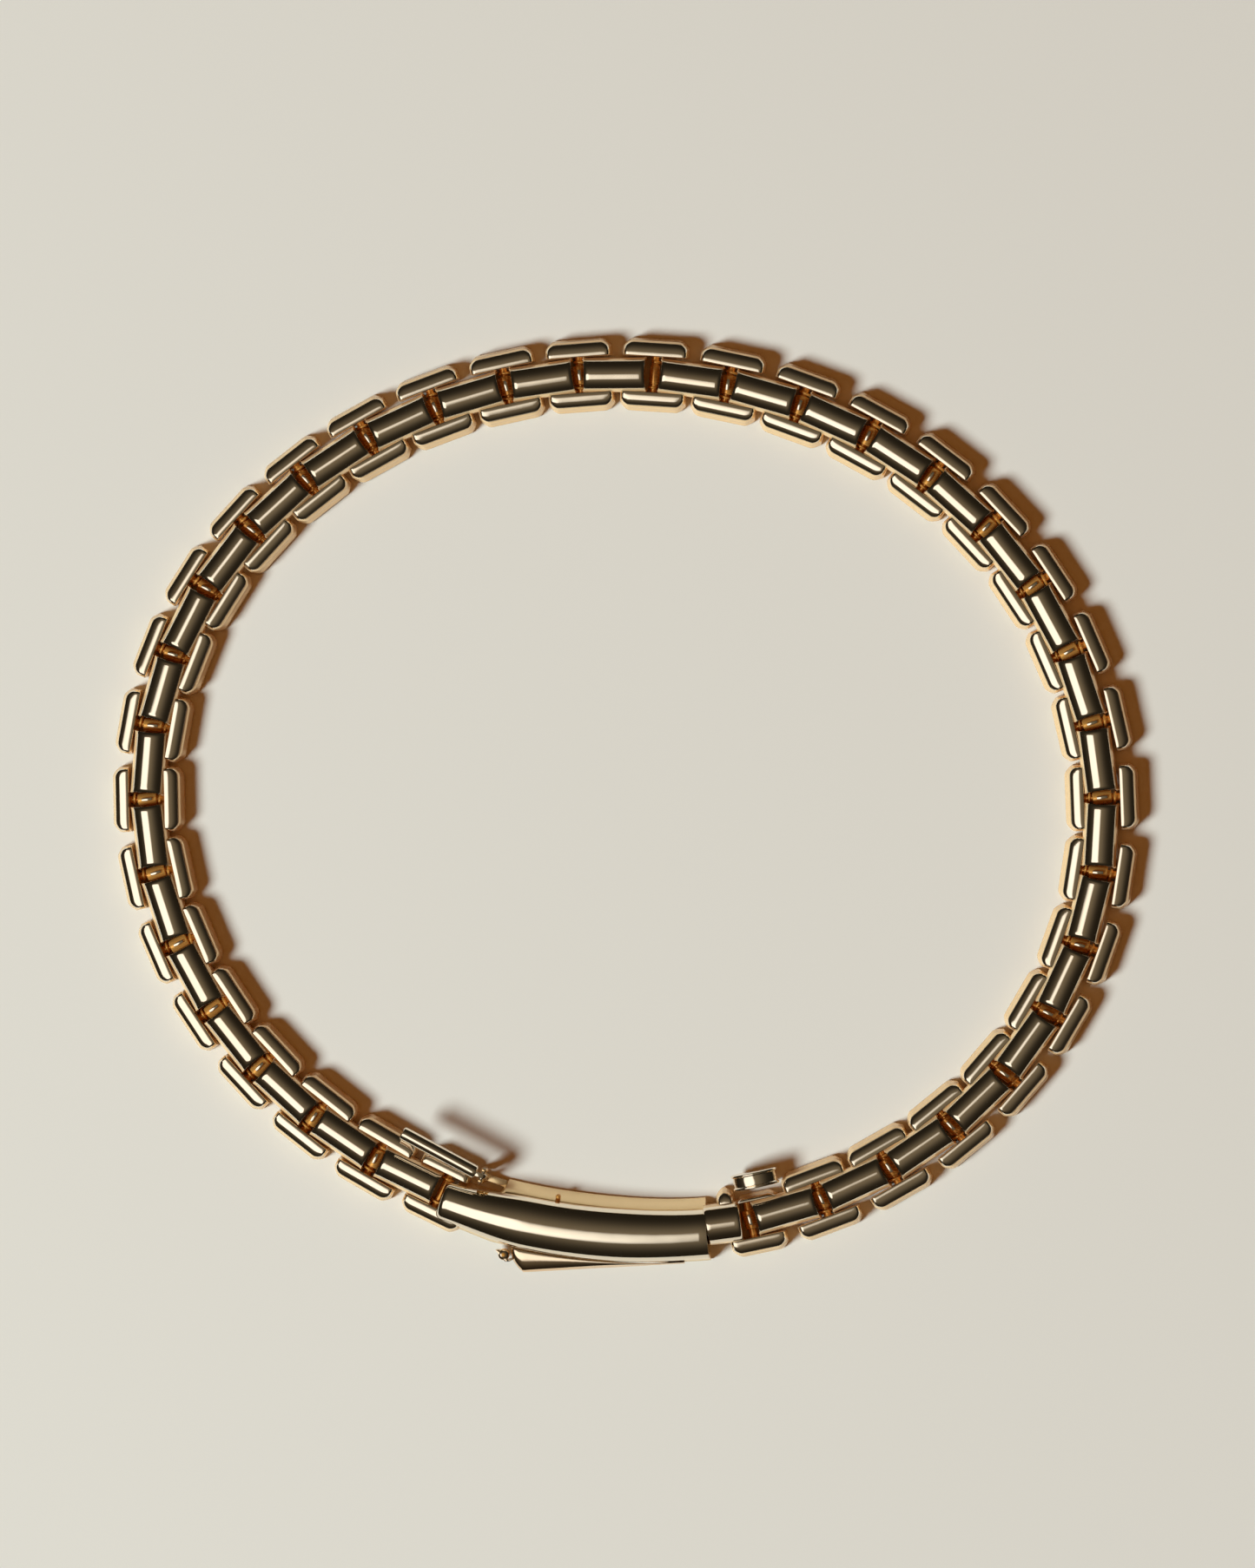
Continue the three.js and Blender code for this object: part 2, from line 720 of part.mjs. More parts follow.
function buttonSolid() {
    const cap = ovalBlock(buttonLength, buttonHeight, buttonOut, buttonOut + buttonDepth);
    const hollowLength = buttonLength - 2 * buttonWall;
    const hollowHeight = buttonHeight - 2 * buttonWall;
    const hollow = ovalBlock(hollowLength, hollowHeight, buttonOut - past, buttonOut + buttonDepth - buttonWall);
    const stem = placedAtButton(
        crossBar(0, buttonMiddle, stemRadius, stemEnd, buttonOut + buttonDepth - buttonWall / 2, pinSides));
    return cap.subtract(hollow).add(stem);
}

function hingePinSolid(lay) {
    return crossBar(0, pinHeight, pinRadius, restGap - pinEnd, pinEnd - restGap, pinSides, lay);
}

function boredForPin(brick) {
    return brick.subtract(crossBar(0, pinHeight, boreRadius, -pinEnd, pinEnd, boreSides));
}

function addTo(group, name, shape, material) {
    group.add(piece(name, shape, material));
}

const innerClaspBrick = boredForPin(sideBrick(sideLength / 2, trimmedFront));
const outerClaspBrick = boredForPin(mirrored(sideBrick()));

addTo(clasp, 'clasp_cover', coverSolid(), goldFinish);
addTo(clasp, 'clasp_base', baseSolid(), goldFinish);
addTo(clasp, 'clasp_brick_inner', turned(innerClaspBrick, lastLay), goldFinish);
addTo(clasp, 'clasp_brick_outer', turned(outerClaspBrick, lastLay), goldFinish);
addTo(clasp, 'clasp_hinge_pin', hingePinSolid(lastLay), pinFinish);
addTo(clasp, 'catch_block', catchSolid(), insideFinish);
addTo(clasp, 'safety_bar', safetyBarSolid(), goldFinish);
addTo(clasp, 'safety_bar_pin', safetyPinSolid(), pinFinish);
const studFoot = baseHeight - studSeat + pinClearance;
const stud = post(studSpot.x, studSpot.y, studRadius, studFoot, baseHeight + studRise, pinSides);
addTo(clasp, 'safety_stud', stud, pinFinish);
addTo(clasp, 'lock_lever', lockLeverSolid(), goldFinish);
addTo(clasp, 'lock_lever_pin', placedAtLever(post(0, 0, leverPinRadius, leverPinFoot, leverTop, pinSides)), pinFinish);

addTo(tongue, 'tongue_head', tongueHeadSolid(), goldFinish);
addTo(tongue, 'tongue_blade', bladeSolid(), springFinish);
addTo(tongue, 'latch_leaf', leafSolid(), springFinish);
addTo(tongue, 'head_brick_inner', housingSolid(), goldFinish);
addTo(tongue, 'head_brick_outer', tongueSideBrick(mirrored(sideBrick()), firstLinkRoom), goldFinish);
addTo(tongue, 'head_hinge_pin', hingePinSolid(headLay), pinFinish);
addTo(tongue, 'release_button', buttonSolid(), goldFinish);

// Stand the necklace on z = 0 with the middle of its outline at the origin
necklace.updateMatrixWorld(true);
const extent = new THREE.Box3().setFromObject(necklace, true);
necklace.position.set(-(extent.min.x + extent.max.x) / 2, -(extent.min.y + extent.max.y) / 2, -extent.min.z);

export default necklace;
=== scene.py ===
import json
import math

import bmesh
import bpy
from mathutils import Matrix, Vector


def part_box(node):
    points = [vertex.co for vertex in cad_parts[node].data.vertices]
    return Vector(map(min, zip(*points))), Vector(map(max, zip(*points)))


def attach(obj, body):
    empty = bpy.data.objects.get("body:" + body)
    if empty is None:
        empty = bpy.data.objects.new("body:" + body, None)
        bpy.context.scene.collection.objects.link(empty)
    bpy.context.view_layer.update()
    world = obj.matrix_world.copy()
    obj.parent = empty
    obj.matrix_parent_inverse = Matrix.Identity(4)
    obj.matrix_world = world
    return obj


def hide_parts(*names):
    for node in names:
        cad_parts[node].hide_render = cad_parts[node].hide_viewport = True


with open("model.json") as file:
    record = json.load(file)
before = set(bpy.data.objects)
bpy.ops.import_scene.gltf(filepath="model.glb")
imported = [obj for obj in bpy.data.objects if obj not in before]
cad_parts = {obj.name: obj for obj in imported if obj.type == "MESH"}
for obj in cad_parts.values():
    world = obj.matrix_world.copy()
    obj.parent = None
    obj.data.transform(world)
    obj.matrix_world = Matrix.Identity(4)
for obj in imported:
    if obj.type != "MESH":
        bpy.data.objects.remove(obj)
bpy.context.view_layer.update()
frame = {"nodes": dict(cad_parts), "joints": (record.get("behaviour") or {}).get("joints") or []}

mm = 0.001
joints = {joint["name"]: joint for joint in frame["joints"]}
print("frame loaded:", len(frame["nodes"]), "nodes")


# Node trees: a wire is a socket that can be added, multiplied and so on

class Wire:
    def __init__(self, wiring, socket):
        self.wiring = wiring
        self.socket = socket

    def math(self, operation, *values):
        return self.wiring.node("ShaderNodeMath", {"operation": operation}, dict(enumerate(values)))

    def __add__(self, other):
        return self.math("ADD", self, other)

    def __radd__(self, other):
        return self.math("ADD", other, self)

    def __sub__(self, other):
        return self.math("SUBTRACT", self, other)

    def __rsub__(self, other):
        return self.math("SUBTRACT", other, self)

    def __mul__(self, other):
        return self.math("MULTIPLY", self, other)

    def __rmul__(self, other):
        return self.math("MULTIPLY", other, self)

    def __truediv__(self, other):
        return self.math("DIVIDE", self, other)

    def __rtruediv__(self, other):
        return self.math("DIVIDE", other, self)

    def __pow__(self, other):
        return self.math("POWER", self, other)

    def between(self, low, high):
        return self.math("MINIMUM", self.math("MAXIMUM", self, low), high)


class Wiring:
    def __init__(self, tree):
        self.tree = tree

    def node(self, kind, settings=None, inputs=None, output=0):
        made = self.tree.nodes.new(kind)
        for name, value in (settings or {}).items():
            setattr(made, name, value)
        for name, value in (inputs or {}).items():
            socket = made.inputs[name]
            if isinstance(value, Wire):
                self.tree.links.new(value.socket, socket)
            else:
                socket.default_value = value
        return Wire(self, made.outputs[output]) if made.outputs else made

    def other(self, wire, name):
        return Wire(self, wire.socket.node.outputs[name])

    def noise(self, place, scale, detail):
        return self.node("ShaderNodeTexNoise", {}, {"Vector": place, "Scale": scale, "Detail": detail})

    def mix(self, share, low, high):
        mixed = self.node("ShaderNodeMix", {"data_type": "RGBA"}, {0: share, 6: low, 7: high})
        return Wire(self, mixed.socket.node.outputs[2])


# Materials

goldColours = {
    "bright": (1.0, 0.91, 0.76, 1),
    "warm": (1.0, 0.70, 0.36, 1),
    "deep": (0.93, 0.50, 0.15, 1),
    "rim": (1.0, 0.70, 0.37, 1),
    "ledge": (1.0, 0.78, 0.46, 1),
    # painted shade: the pins and straps between the bricks are coloured a deep, dull orange for the
    # gold-on-gold glow in the gaps
    "wire": (0.95, 0.50, 0.13, 1),
    "wireShadeDeep": (0.75, 0.28, 0.04, 1),
    "satin": (0.95, 0.72, 0.42, 1),
    "satinDeep": (0.75, 0.45, 0.18, 1),
}
goldTexture = {
    "warmFoot": 0.6,
    "warmRise": 2.2,
    "warmShare": 0.86,
    "cloudShare": 0.28,
    "toneStart": 0.07,
    "rimCloud": 0.3,
    "cloudScale": 55.0,
    "patchScale": 420.0,
    "swellScale": 260.0,
    "hairTurn": 0.6,
    "hairScale": (350, 9000, 2500),
    "hairStart": 0.52,
    "hairMost": 0.2,
    "hairDepth": 0.05,
    "patchRough": 0.05,
    "hairRough": 0.6,
    "rimRough": 0.14,
    "bumpStrength": 0.35,
    "bumpDepth": 0.04,
    # painted highlight on the hinge crests
    "crownRise": 0.03,
    "highlightSmooth": 0.75,
}


def goldMaterial(name, look):
    texture = goldTexture
    material = bpy.data.materials.new(name)
    material.use_nodes = True
    material.node_tree.nodes.clear()
    wiring = Wiring(material.node_tree)
    place = wiring.other(wiring.node("ShaderNodeTexCoord"), "Object")
    height = wiring.other(wiring.node("ShaderNodeSeparateXYZ", {}, {0: place}), "Z")
    # light that bounces between the pieces comes out redder low down
    lift = ((height - texture["warmFoot"] * mm) / (texture["warmRise"] * mm)).between(0, 1)
    cloud = wiring.noise(place, texture["cloudScale"], 2.0)
    patch = wiring.noise(place, texture["patchScale"], 3.0)
    tone = lift * texture["warmShare"] + cloud * texture["cloudShare"] - texture["toneStart"]
    tone = tone.between(0, 1)
    colour = wiring.mix(tone, goldColours[look["deep"]], goldColours[look["bright"]])
    # steep flanks below this height glow with light from the slab
    rim = ((look["rimTop"] * mm - height) / (look["rimSoft"] * mm)).between(0, 1)
    rimColour = goldColours[look.get("rim", "rim")]
    rimCover = cloud * texture["rimCloud"] + (1 - texture["rimCloud"])
    colour = wiring.mix(rim * rimCover, colour, rimColour)
    # hairlines left by the polishing wheel
    hairs = wiring.node("ShaderNodeMapping", {}, {
        0: place, "Rotation": (0, 0, texture["hairTurn"]), "Scale": texture["hairScale"]})
    hairline = wiring.noise(hairs, 1.0, 2.0) - texture["hairStart"]
    wear = hairline.between(0, texture["hairMost"]) * look["scratch"]
    swell = wiring.noise(place, texture["swellScale"], 1.0)
    relief = swell * look["wave"] + wear * texture["hairDepth"]
    bump = wiring.node("ShaderNodeBump", {}, {
        "Height": relief, "Strength": texture["bumpStrength"], "Distance": texture["bumpDepth"] * mm})
    rough = (patch - 0.5) * texture["patchRough"] + wear * texture["hairRough"]
    rough = rough + rim * texture["rimRough"] + look["roughness"]
    metallic = look["metallic"] - rim * look["rimGlow"]
    if "crown" in look:
        # painted highlight: above this height the crests turn bright gold, smoother and fully metal, out of
        # the painted gap shade
        crown = ((height - look["crown"] * mm) / (texture["crownRise"] * mm)).between(0, 1)
        colour = wiring.mix(crown, colour, goldColours["bright"])
        rough = rough * (1 - crown * texture["highlightSmooth"])
        metallic = metallic + crown * (1 - look["metallic"])
    shader = wiring.node("ShaderNodeBsdfPrincipled", {}, {
        "Base Color": colour, "Metallic": metallic, "Roughness": rough, "Normal": bump})
    wiring.node("ShaderNodeOutputMaterial", {}, {"Surface": shader})
    return material


goldLooks = {
    "rowGold": {"bright": "bright", "deep": "deep", "roughness": 0.06, "scratch": 0.4, "wave": 0.5,
                "metallic": 1.0, "rimTop": 3.5, "rimSoft": 0.14, "rimGlow": 0.5},
    "sideGold": {"bright": "bright", "deep": "deep", "roughness": 0.06, "scratch": 0.4, "wave": 0.5,
                 "metallic": 1.0, "rimTop": 2.74, "rimSoft": 0.14, "rimGlow": 0.5},
    "coverGold": {"bright": "bright", "deep": "warm", "roughness": 0.065, "scratch": 0.35, "wave": 0.6,
                  "metallic": 1.0, "rimTop": 3.1, "rimSoft": 0.2, "rimGlow": 0.45},
    "baseGold": {"bright": "warm", "deep": "warm", "roughness": 0.12, "scratch": 0.0, "wave": 0.0,
                 "metallic": 1.0, "rimTop": 2.7, "rimSoft": 0.6, "rimGlow": 0.2, "rim": "ledge"},
    "plainGold": {"bright": "bright", "deep": "deep", "roughness": 0.07, "scratch": 0.4, "wave": 0.5,
                  "metallic": 1.0, "rimTop": 1.2, "rimSoft": 0.5, "rimGlow": 0.35},
    # painted shade: half diffuse deep orange for the hinge work in the gaps, with a painted highlight on the
    # crests above "crown"
    "shadedWireGold": {"bright": "wire", "deep": "wireShadeDeep", "roughness": 0.24, "scratch": 0.8, "wave": 0.8,
                 "metallic": 0.6, "rimTop": 0.3, "rimSoft": 0.3, "rimGlow": 0.0, "crown": 2.7},
    "satinGold": {"bright": "satin", "deep": "satinDeep", "roughness": 0.3, "scratch": 1.2, "wave": 0.4,
                  "metallic": 1.0, "rimTop": 0.3, "rimSoft": 0.3, "rimGlow": 0.0},
}
golds = {name: goldMaterial(name, look) for name, look in goldLooks.items()}


# Mesh making: lofted rings and finishing

weldDistance = 1e-7
edgeAngle = math.radians(32)
rimAngle = math.radians(50)
edgeSegments = 2
softEdge = 0.05


def loft(rings, looped=False):
    points = [point for ring in rings for point in ring]
    count = len(rings[0])
    faces = []
    pairs = len(rings) if looped else len(rings) - 1
    for row in range(pairs):
        after = (row + 1) % len(rings)
        for column in range(count):
            side = (column + 1) % count
            faces.append((row * count + column, row * count + side,
                          after * count + side, after * count + column))
    if not looped:
        faces.append(tuple(range(count)))
        faces.append(tuple(range((len(rings) - 1) * count, len(rings) * count)))
    return points, faces


def meshFrom(name, shells, material, place=None, bevel=0, sharpAngle=38):
    points, faces = [], []
    for shellPoints, shellFaces in shells:
        first = len(points)
        points.extend(shellPoints)
        faces.extend(tuple(first + index for index in face) for face in shellFaces)
    mesh = bpy.data.meshes.new(name)
    mesh.from_pydata([tuple(point) for point in points], [], faces)
    piece = bpy.data.objects.new(name, mesh)
    bpy.context.scene.collection.objects.link(piece)
    outward(mesh)
    mesh.transform(Matrix.Scale(mm, 4))
    if bevel:
        softened = piece.modifiers.new("edges", "BEVEL")
        softened.width = bevel * mm
        softened.segments = edgeSegments
        softened.limit_method = "ANGLE"
        softened.angle_limit = edgeAngle
        piece = plain(piece, name)
    if place is not None:
        piece.data.transform(place)
    shade(piece, material, sharpAngle)
    return piece


def outward(mesh, isSheet=False):
    work = bmesh.new()
    work.from_mesh(mesh)
    bmesh.ops.remove_doubles(work, verts=work.verts, dist=weldDistance)
    bmesh.ops.recalc_face_normals(work, faces=work.faces)
    if isSheet and sum(face.normal.z * face.calc_area() for face in work.faces) < 0:
        bmesh.ops.reverse_faces(work, faces=work.faces)
    work.to_mesh(mesh)
    work.free()


def plain(piece, name):
    graph = bpy.context.evaluated_depsgraph_get()
    mesh = bpy.data.meshes.new_from_object(piece.evaluated_get(graph))
    mesh.name = name
    old = piece.data
    piece.modifiers.clear()
    piece.data = mesh
    if old.users == 0:
        bpy.data.meshes.remove(old)
    return piece


def thickened(piece, name, size):
    wall = piece.modifiers.new("wall", "SOLIDIFY")
    wall.thickness = size["wall"] * mm
    wall.offset = -1
    wall.use_even_offset = size["evenWall"]
    rim = piece.modifiers.new("rim", "BEVEL")
    rim.width = size["rim"] * mm
    rim.segments = size["rimSegments"]
    rim.limit_method = "ANGLE"
    rim.angle_limit = rimAngle
    return plain(piece, name)


def shade(piece, material, sharpAngle):
    piece.data.materials.clear()
    piece.data.materials.append(material)
    for face in piece.data.polygons:
        face.use_smooth = True
        face.material_index = 0
    piece.data.set_sharp_from_angle(angle=math.radians(sharpAngle))


def put(piece, body, slot, *nodes):
    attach(piece, body)
    if nodes:
        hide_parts(*nodes)
    return piece


# Where the hinges are

linkCount = 34
openHinge = 17


def linkName(number):
    return f"link_{number:02d}"


def angleOf(direction):
    return math.atan2(direction.y, direction.x)


def turnBetween(first, second):
    return math.atan2(math.sin(second - first), math.cos(second - first))


hinges = [None] * (linkCount + 1)
for number in range(1, linkCount + 1):
    spot = number - 1 if number <= openHinge else number
    hinges[spot] = Vector(joints[linkName(number) + "_hinge"]["pos_m"])
before, after = hinges[openHinge - 1], hinges[openHinge + 1]
halfChord = (after - before) / 2
reach = math.sqrt((hinges[1] - hinges[0]).length_squared - halfChord.length_squared)
hinges[openHinge] = (before + after) / 2 + Vector((halfChord.y, -halfChord.x, 0)).normalized() * reach

tongueTurn = angleOf(Vector(joints["tongue_slide"]["axis"]))
linkTurns = [tongueTurn] + [angleOf(hinges[n] - hinges[n - 1]) for n in range(1, linkCount + 1)]
pairTurns = []
for number in range(linkCount + 1):
    nextTurn = linkTurns[min(number + 1, linkCount)]
    pairTurns.append(linkTurns[number] + turnBetween(linkTurns[number], nextTurn) / 2)
ground = Vector((1, 1, 0))


def placeAt(point, turn):
    return Matrix.Translation(point * ground) @ Matrix.Rotation(turn, 4, "Z")


# Centre brick: a pressed half-round shell, shaped by a rule

centreBrick = {
    "Length": 8.95,
    "Width": 4.85,
    "Foot": 0.35,
    "Shoulder": 2.3,
    "Top": 4.2,
    "Scoop": 0.22,
    "End roll": 0.26,
    "Roll length": 0.55,
    "Corner flare": 0.1,
}
centreShell = {
    "rows": 27,
    "columns": 31,
    "tuck": 0.45,
    "wall": 0.38,
    "evenWall": True,
    "rim": 0.09,
    "rimSegments": 2,
}
centrePitch = (hinges[1] - hinges[0]).length / mm


def addInputs(tree, names, kind="NodeSocketFloat"):
    made = {}
    for name in names:
        made[name] = tree.interface.new_socket(name, in_out="INPUT", socket_type=kind).identifier
    return made


def brickShellTree():
    tree = bpy.data.node_groups.new("brickShell", "GeometryNodeTree")
    tree.interface.new_socket("Geometry", in_out="INPUT", socket_type="NodeSocketGeometry")
    sockets = addInputs(tree, centreBrick)
    sockets.update(addInputs(tree, ["Material"], "NodeSocketMaterial"))
    tree.interface.new_socket("Geometry", in_out="OUTPUT", socket_type="NodeSocketGeometry")
    wiring = Wiring(tree)
    given = wiring.node("NodeGroupInput")
    size = {name: wiring.other(given, name) for name in centreBrick}
    grid = wiring.node("GeometryNodeMeshGrid", {}, {
        "Size X": 1.0, "Size Y": 1.0,
        "Vertices X": centreShell["rows"], "Vertices Y": centreShell["columns"]})
    spread = wiring.node("ShaderNodeSeparateXYZ", {}, {0: wiring.node("GeometryNodeInputPosition")})
    across = wiring.other(spread, "Y")
    # rows crowd towards both ends, where the shell rolls over
    share = (wiring.other(spread, "X") * math.pi).math("SINE", wiring.other(spread, "X") * math.pi)
    tuck = centreShell["tuck"]
    turn = math.pi / 2 - across * (math.pi + 2 * tuck)
    rise = turn.math("SINE", turn)
    up = rise.math("MAXIMUM", rise, 0)
    down = rise.math("MINIMUM", rise, 0) / math.sin(tuck)
    held = turn.between(0, math.pi)
    half = size["Length"] / 2 - size["Scoop"] * up
    along = share * half
    fromEnd = (1 - share.math("ABSOLUTE", share)) * half
    roll = (1 - fromEnd / size["Roll length"]).between(0, 1) ** 2
    side = held.math("COSINE", held) * (size["Width"] / 2 + size["Corner flare"] * roll)
    tall = size["Shoulder"] + (size["Top"] - size["Shoulder"]) * up
    tall = tall + (size["Shoulder"] - size["Foot"]) * down
    tall = tall - size["End roll"] * roll * up
    spot = wiring.node("ShaderNodeCombineXYZ", {}, {"X": along * mm, "Y": side * mm, "Z": tall * mm})
    shaped = wiring.node("GeometryNodeSetPosition", {}, {"Geometry": grid, "Position": spot})
    whole = wiring.node("GeometryNodeRealizeInstances", {}, {0: shaped})
    painted = wiring.node("GeometryNodeSetMaterial", {}, {
        "Geometry": whole, "Material": wiring.other(given, "Material")})
    wiring.node("NodeGroupOutput", {}, {0: painted})
    return tree, sockets


def emptyObject(name):
    piece = bpy.data.objects.new(name, bpy.data.meshes.new(name))
    bpy.context.scene.collection.objects.link(piece)
    return piece


def brickTemplate():
    tree, sockets = brickShellTree()
    piece = emptyObject("brickShape")
    shaped = piece.modifiers.new("shell", "NODES")
    shaped.node_group = tree
    for name, value in centreBrick.items():
        shaped[sockets[name]] = float(value)
    shaped[sockets["Material"]] = golds["rowGold"]
    piece = thickened(piece, "brickShape", centreShell)
    outward(piece.data)
    shade(piece, golds["rowGold"], 40)
    return piece


# Side brick: a pillow that rises from its outer skirt to the centre row

sideBrick = {
    "length": 9.25,
    "inner": 2.5,
    "outer": 5.15,
    "top": 3.1,
    "edge": 1.5,
    "skirt": 0.34,
    "corner": 1.0,
    "cornerLength": 1.35,
    "endRound": 0.55,
    "flatness": 0.72,
    "rows": 27,
    "arcSteps": 12,
    "lip": 0.16,
    "cornerPower": 1.7,
    "endDrop": 0.88,
    "endTuck": 0.18,
}


def endSpacing(low, high, count):
    shares = [0.5 - 0.5 * math.cos(math.pi * step / (count - 1)) for step in range(count)]
    return [low + (high - low) * share for share in shares]


def sideBrickShell(back=sideBrick["length"] / 2, front=sideBrick["length"] / 2, outer=sideBrick["outer"]):
    size = sideBrick
    edge, skirt, lip = size["edge"], size["skirt"], size["lip"]
    rings = []
    for x in endSpacing(-back, front, size["rows"]):
        fromEnd = min(x + back, front - x)
        near = max(0, 1 - fromEnd / size["cornerLength"])
        cut = size["corner"] * near ** size["cornerPower"]
        near = max(0, 1 - fromEnd / size["endRound"])
        swell = math.sqrt(max(0, 1 - near ** 2))
        rim = outer - cut
        high = edge + (size["top"] - edge) * (1 - size["endDrop"] + size["endDrop"] * swell)
        low = size["inner"] + size["endTuck"] * (1 - swell)
        # up the inner wall, over the crown, then down the skirt and back under
        ring = [(x, low, 0.1), (x, low, edge * 0.7), (x, low, high - 0.12),
                (x, low + 0.04, high - 0.03), (x, low + 0.12, high - 0.006)]
        for step in range(1, size["arcSteps"]):
            turn = math.pi / 2 * step / (size["arcSteps"] - 1)
            y = low + lip + (rim - skirt - low - lip) * math.sin(turn) ** size["flatness"]
            ring.append((x, y, edge + (high - edge) * math.cos(turn) ** size["flatness"]))
        ring.extend([(x, rim - skirt * 0.35, edge * 0.66), (x, rim, edge * 0.3),
                     (x, rim - 0.05, 0.08), (x, rim - 0.2, 0), (x, low + 0.2, 0)])
        rings.append([Vector(point) for point in ring])
    return loft(rings)


def flipped(shell):
    points, faces = shell
    return [Vector((point.x, -point.y, point.z)) for point in points], faces


def brickPiece(name, shells, place=None):
    return meshFrom(name, shells, golds["sideGold"], place=place, bevel=softEdge, sharpAngle=45)


def sidePairTemplate():
    shell = sideBrickShell()
    return brickPiece("sidePairShape", [shell, flipped(shell)])


# Hinge work: pin, knuckles and the strap under each brick

hingeWork = {
    "height": 1.55,
    "pinRadius": 0.55,
    "pinHalf": 3.1,
    "knuckleRadius": 0.98,
    "sleeveRadius": 0.7,
    "knuckleHalf": 1.34,
    "collarStart": 1.62,
    "collarEnd": 1.97,
    "strapFoot": 0.42,
    "strapThickness": 0.42,
    "strapHalf": 1.3,
    "strapEnd": 1.3,
    "crestLength": 0.62,
    "crestHalf": 0.75,
    "crestTop": 2.78,
    "boreFit": 0.05,
    "ringLip": 0.08,
    "knuckleGap": 1.5,
    "strapOverlap": 0.2,
    "crossLength": 0.9,
    "crossLap": 0.5,
    "armLap": 0.4,
    "armFront": 0.1,
    "crestTaper": 0.08,
    "crestNarrow": 0.86,
    "crestRoot": 0.7,
}
hingeBore = hingeWork["pinRadius"] + hingeWork["boreFit"]
roundPin = (hingeWork["height"], hingeWork["pinRadius"], -hingeWork["pinHalf"], hingeWork["pinHalf"])


def barAcross(x, z, radius, low, high, round=0.15, sides=20):
    rings = []
    for y, share in ((low, 0.72), (low + round * 0.3, 0.92), (low + round, 1),
                     (high - round, 1), (high - round * 0.3, 0.92), (high, 0.72)):
        ring = []
        for k in range(sides):
            turn = 2 * math.pi * k / sides
            ring.append(Vector((x + radius * share * math.cos(turn), y, z + radius * share * math.sin(turn))))
        rings.append(ring)
    return loft(rings)


def ringAcross(x, z, bore, radius, low, high, sides=24):
    rings = []
    lip = hingeWork["ringLip"]
    for k in range(sides):
        turn = 2 * math.pi * k / sides
        ring = []
        for distance, y in ((bore, low), (radius - lip, low), (radius, low + lip), (radius, high - lip),
                            (radius - lip, high), (bore, high)):
            ring.append(Vector((x + distance * math.cos(turn), y, z + distance * math.sin(turn))))
        rings.append(ring)
    return loft(rings, looped=True)


def block(low, high):
    x0, y0, z0 = low
    x1, y1, z1 = high
    corners = ((y0, z0), (y1, z0), (y1, z1), (y0, z1))
    return loft([[Vector((x, y, z)) for y, z in corners] for x in (x0, x1)])


def rearKnuckle(x, radius, hasCrest=True):
    work = hingeWork
    half, height = work["knuckleHalf"], work["height"]
    ring = ringAcross(x, height, hingeBore, radius, -half, half)
    if not hasCrest:
        return [ring]
    crest = []
    taper, narrow = work["crestTaper"], work["crestNarrow"]
    low, high = height + radius * work["crestRoot"], work["crestTop"]
    for y, share in ((-work["crestHalf"], narrow), (0, 1), (work["crestHalf"], narrow)):
        reach = work["crestLength"] * share / 2
        crest.append([Vector((x - reach, y, low)), Vector((x + reach, y, low)),
                      Vector((x + reach - taper, y, high)), Vector((x - reach + taper, y, high))])
    return [ring, loft(crest)]


def strapShells(withKnuckle=True, collar=hingeWork["knuckleRadius"], rear=-centrePitch):
    work = hingeWork
    foot, thick, half = work["strapFoot"], work["strapThickness"], work["strapHalf"]
    start = rear + (work["strapOverlap"] if withKnuckle else work["knuckleGap"])
    wide, clear = work["collarEnd"], work["strapEnd"]
    shells = [
        block((start, -half, foot), (-clear - work["crossLap"], half, foot + thick)),
        block((-clear - work["crossLength"], -wide, foot), (-clear, wide, foot + thick))]
    for side in (-1, 1):
        low, high = sorted((side * work["collarStart"], side * work["collarEnd"]))
        shells.append(ringAcross(0, work["height"], hingeBore, collar, low, high))
        shells.append(block((-clear - work["armLap"], low, foot), (-work["armFront"], high, foot + thick)))
    if withKnuckle:
        shells.extend(rearKnuckle(rear, work["knuckleRadius"]))
    return shells


# Laying the row: one tree puts a shape on one point of a line of points

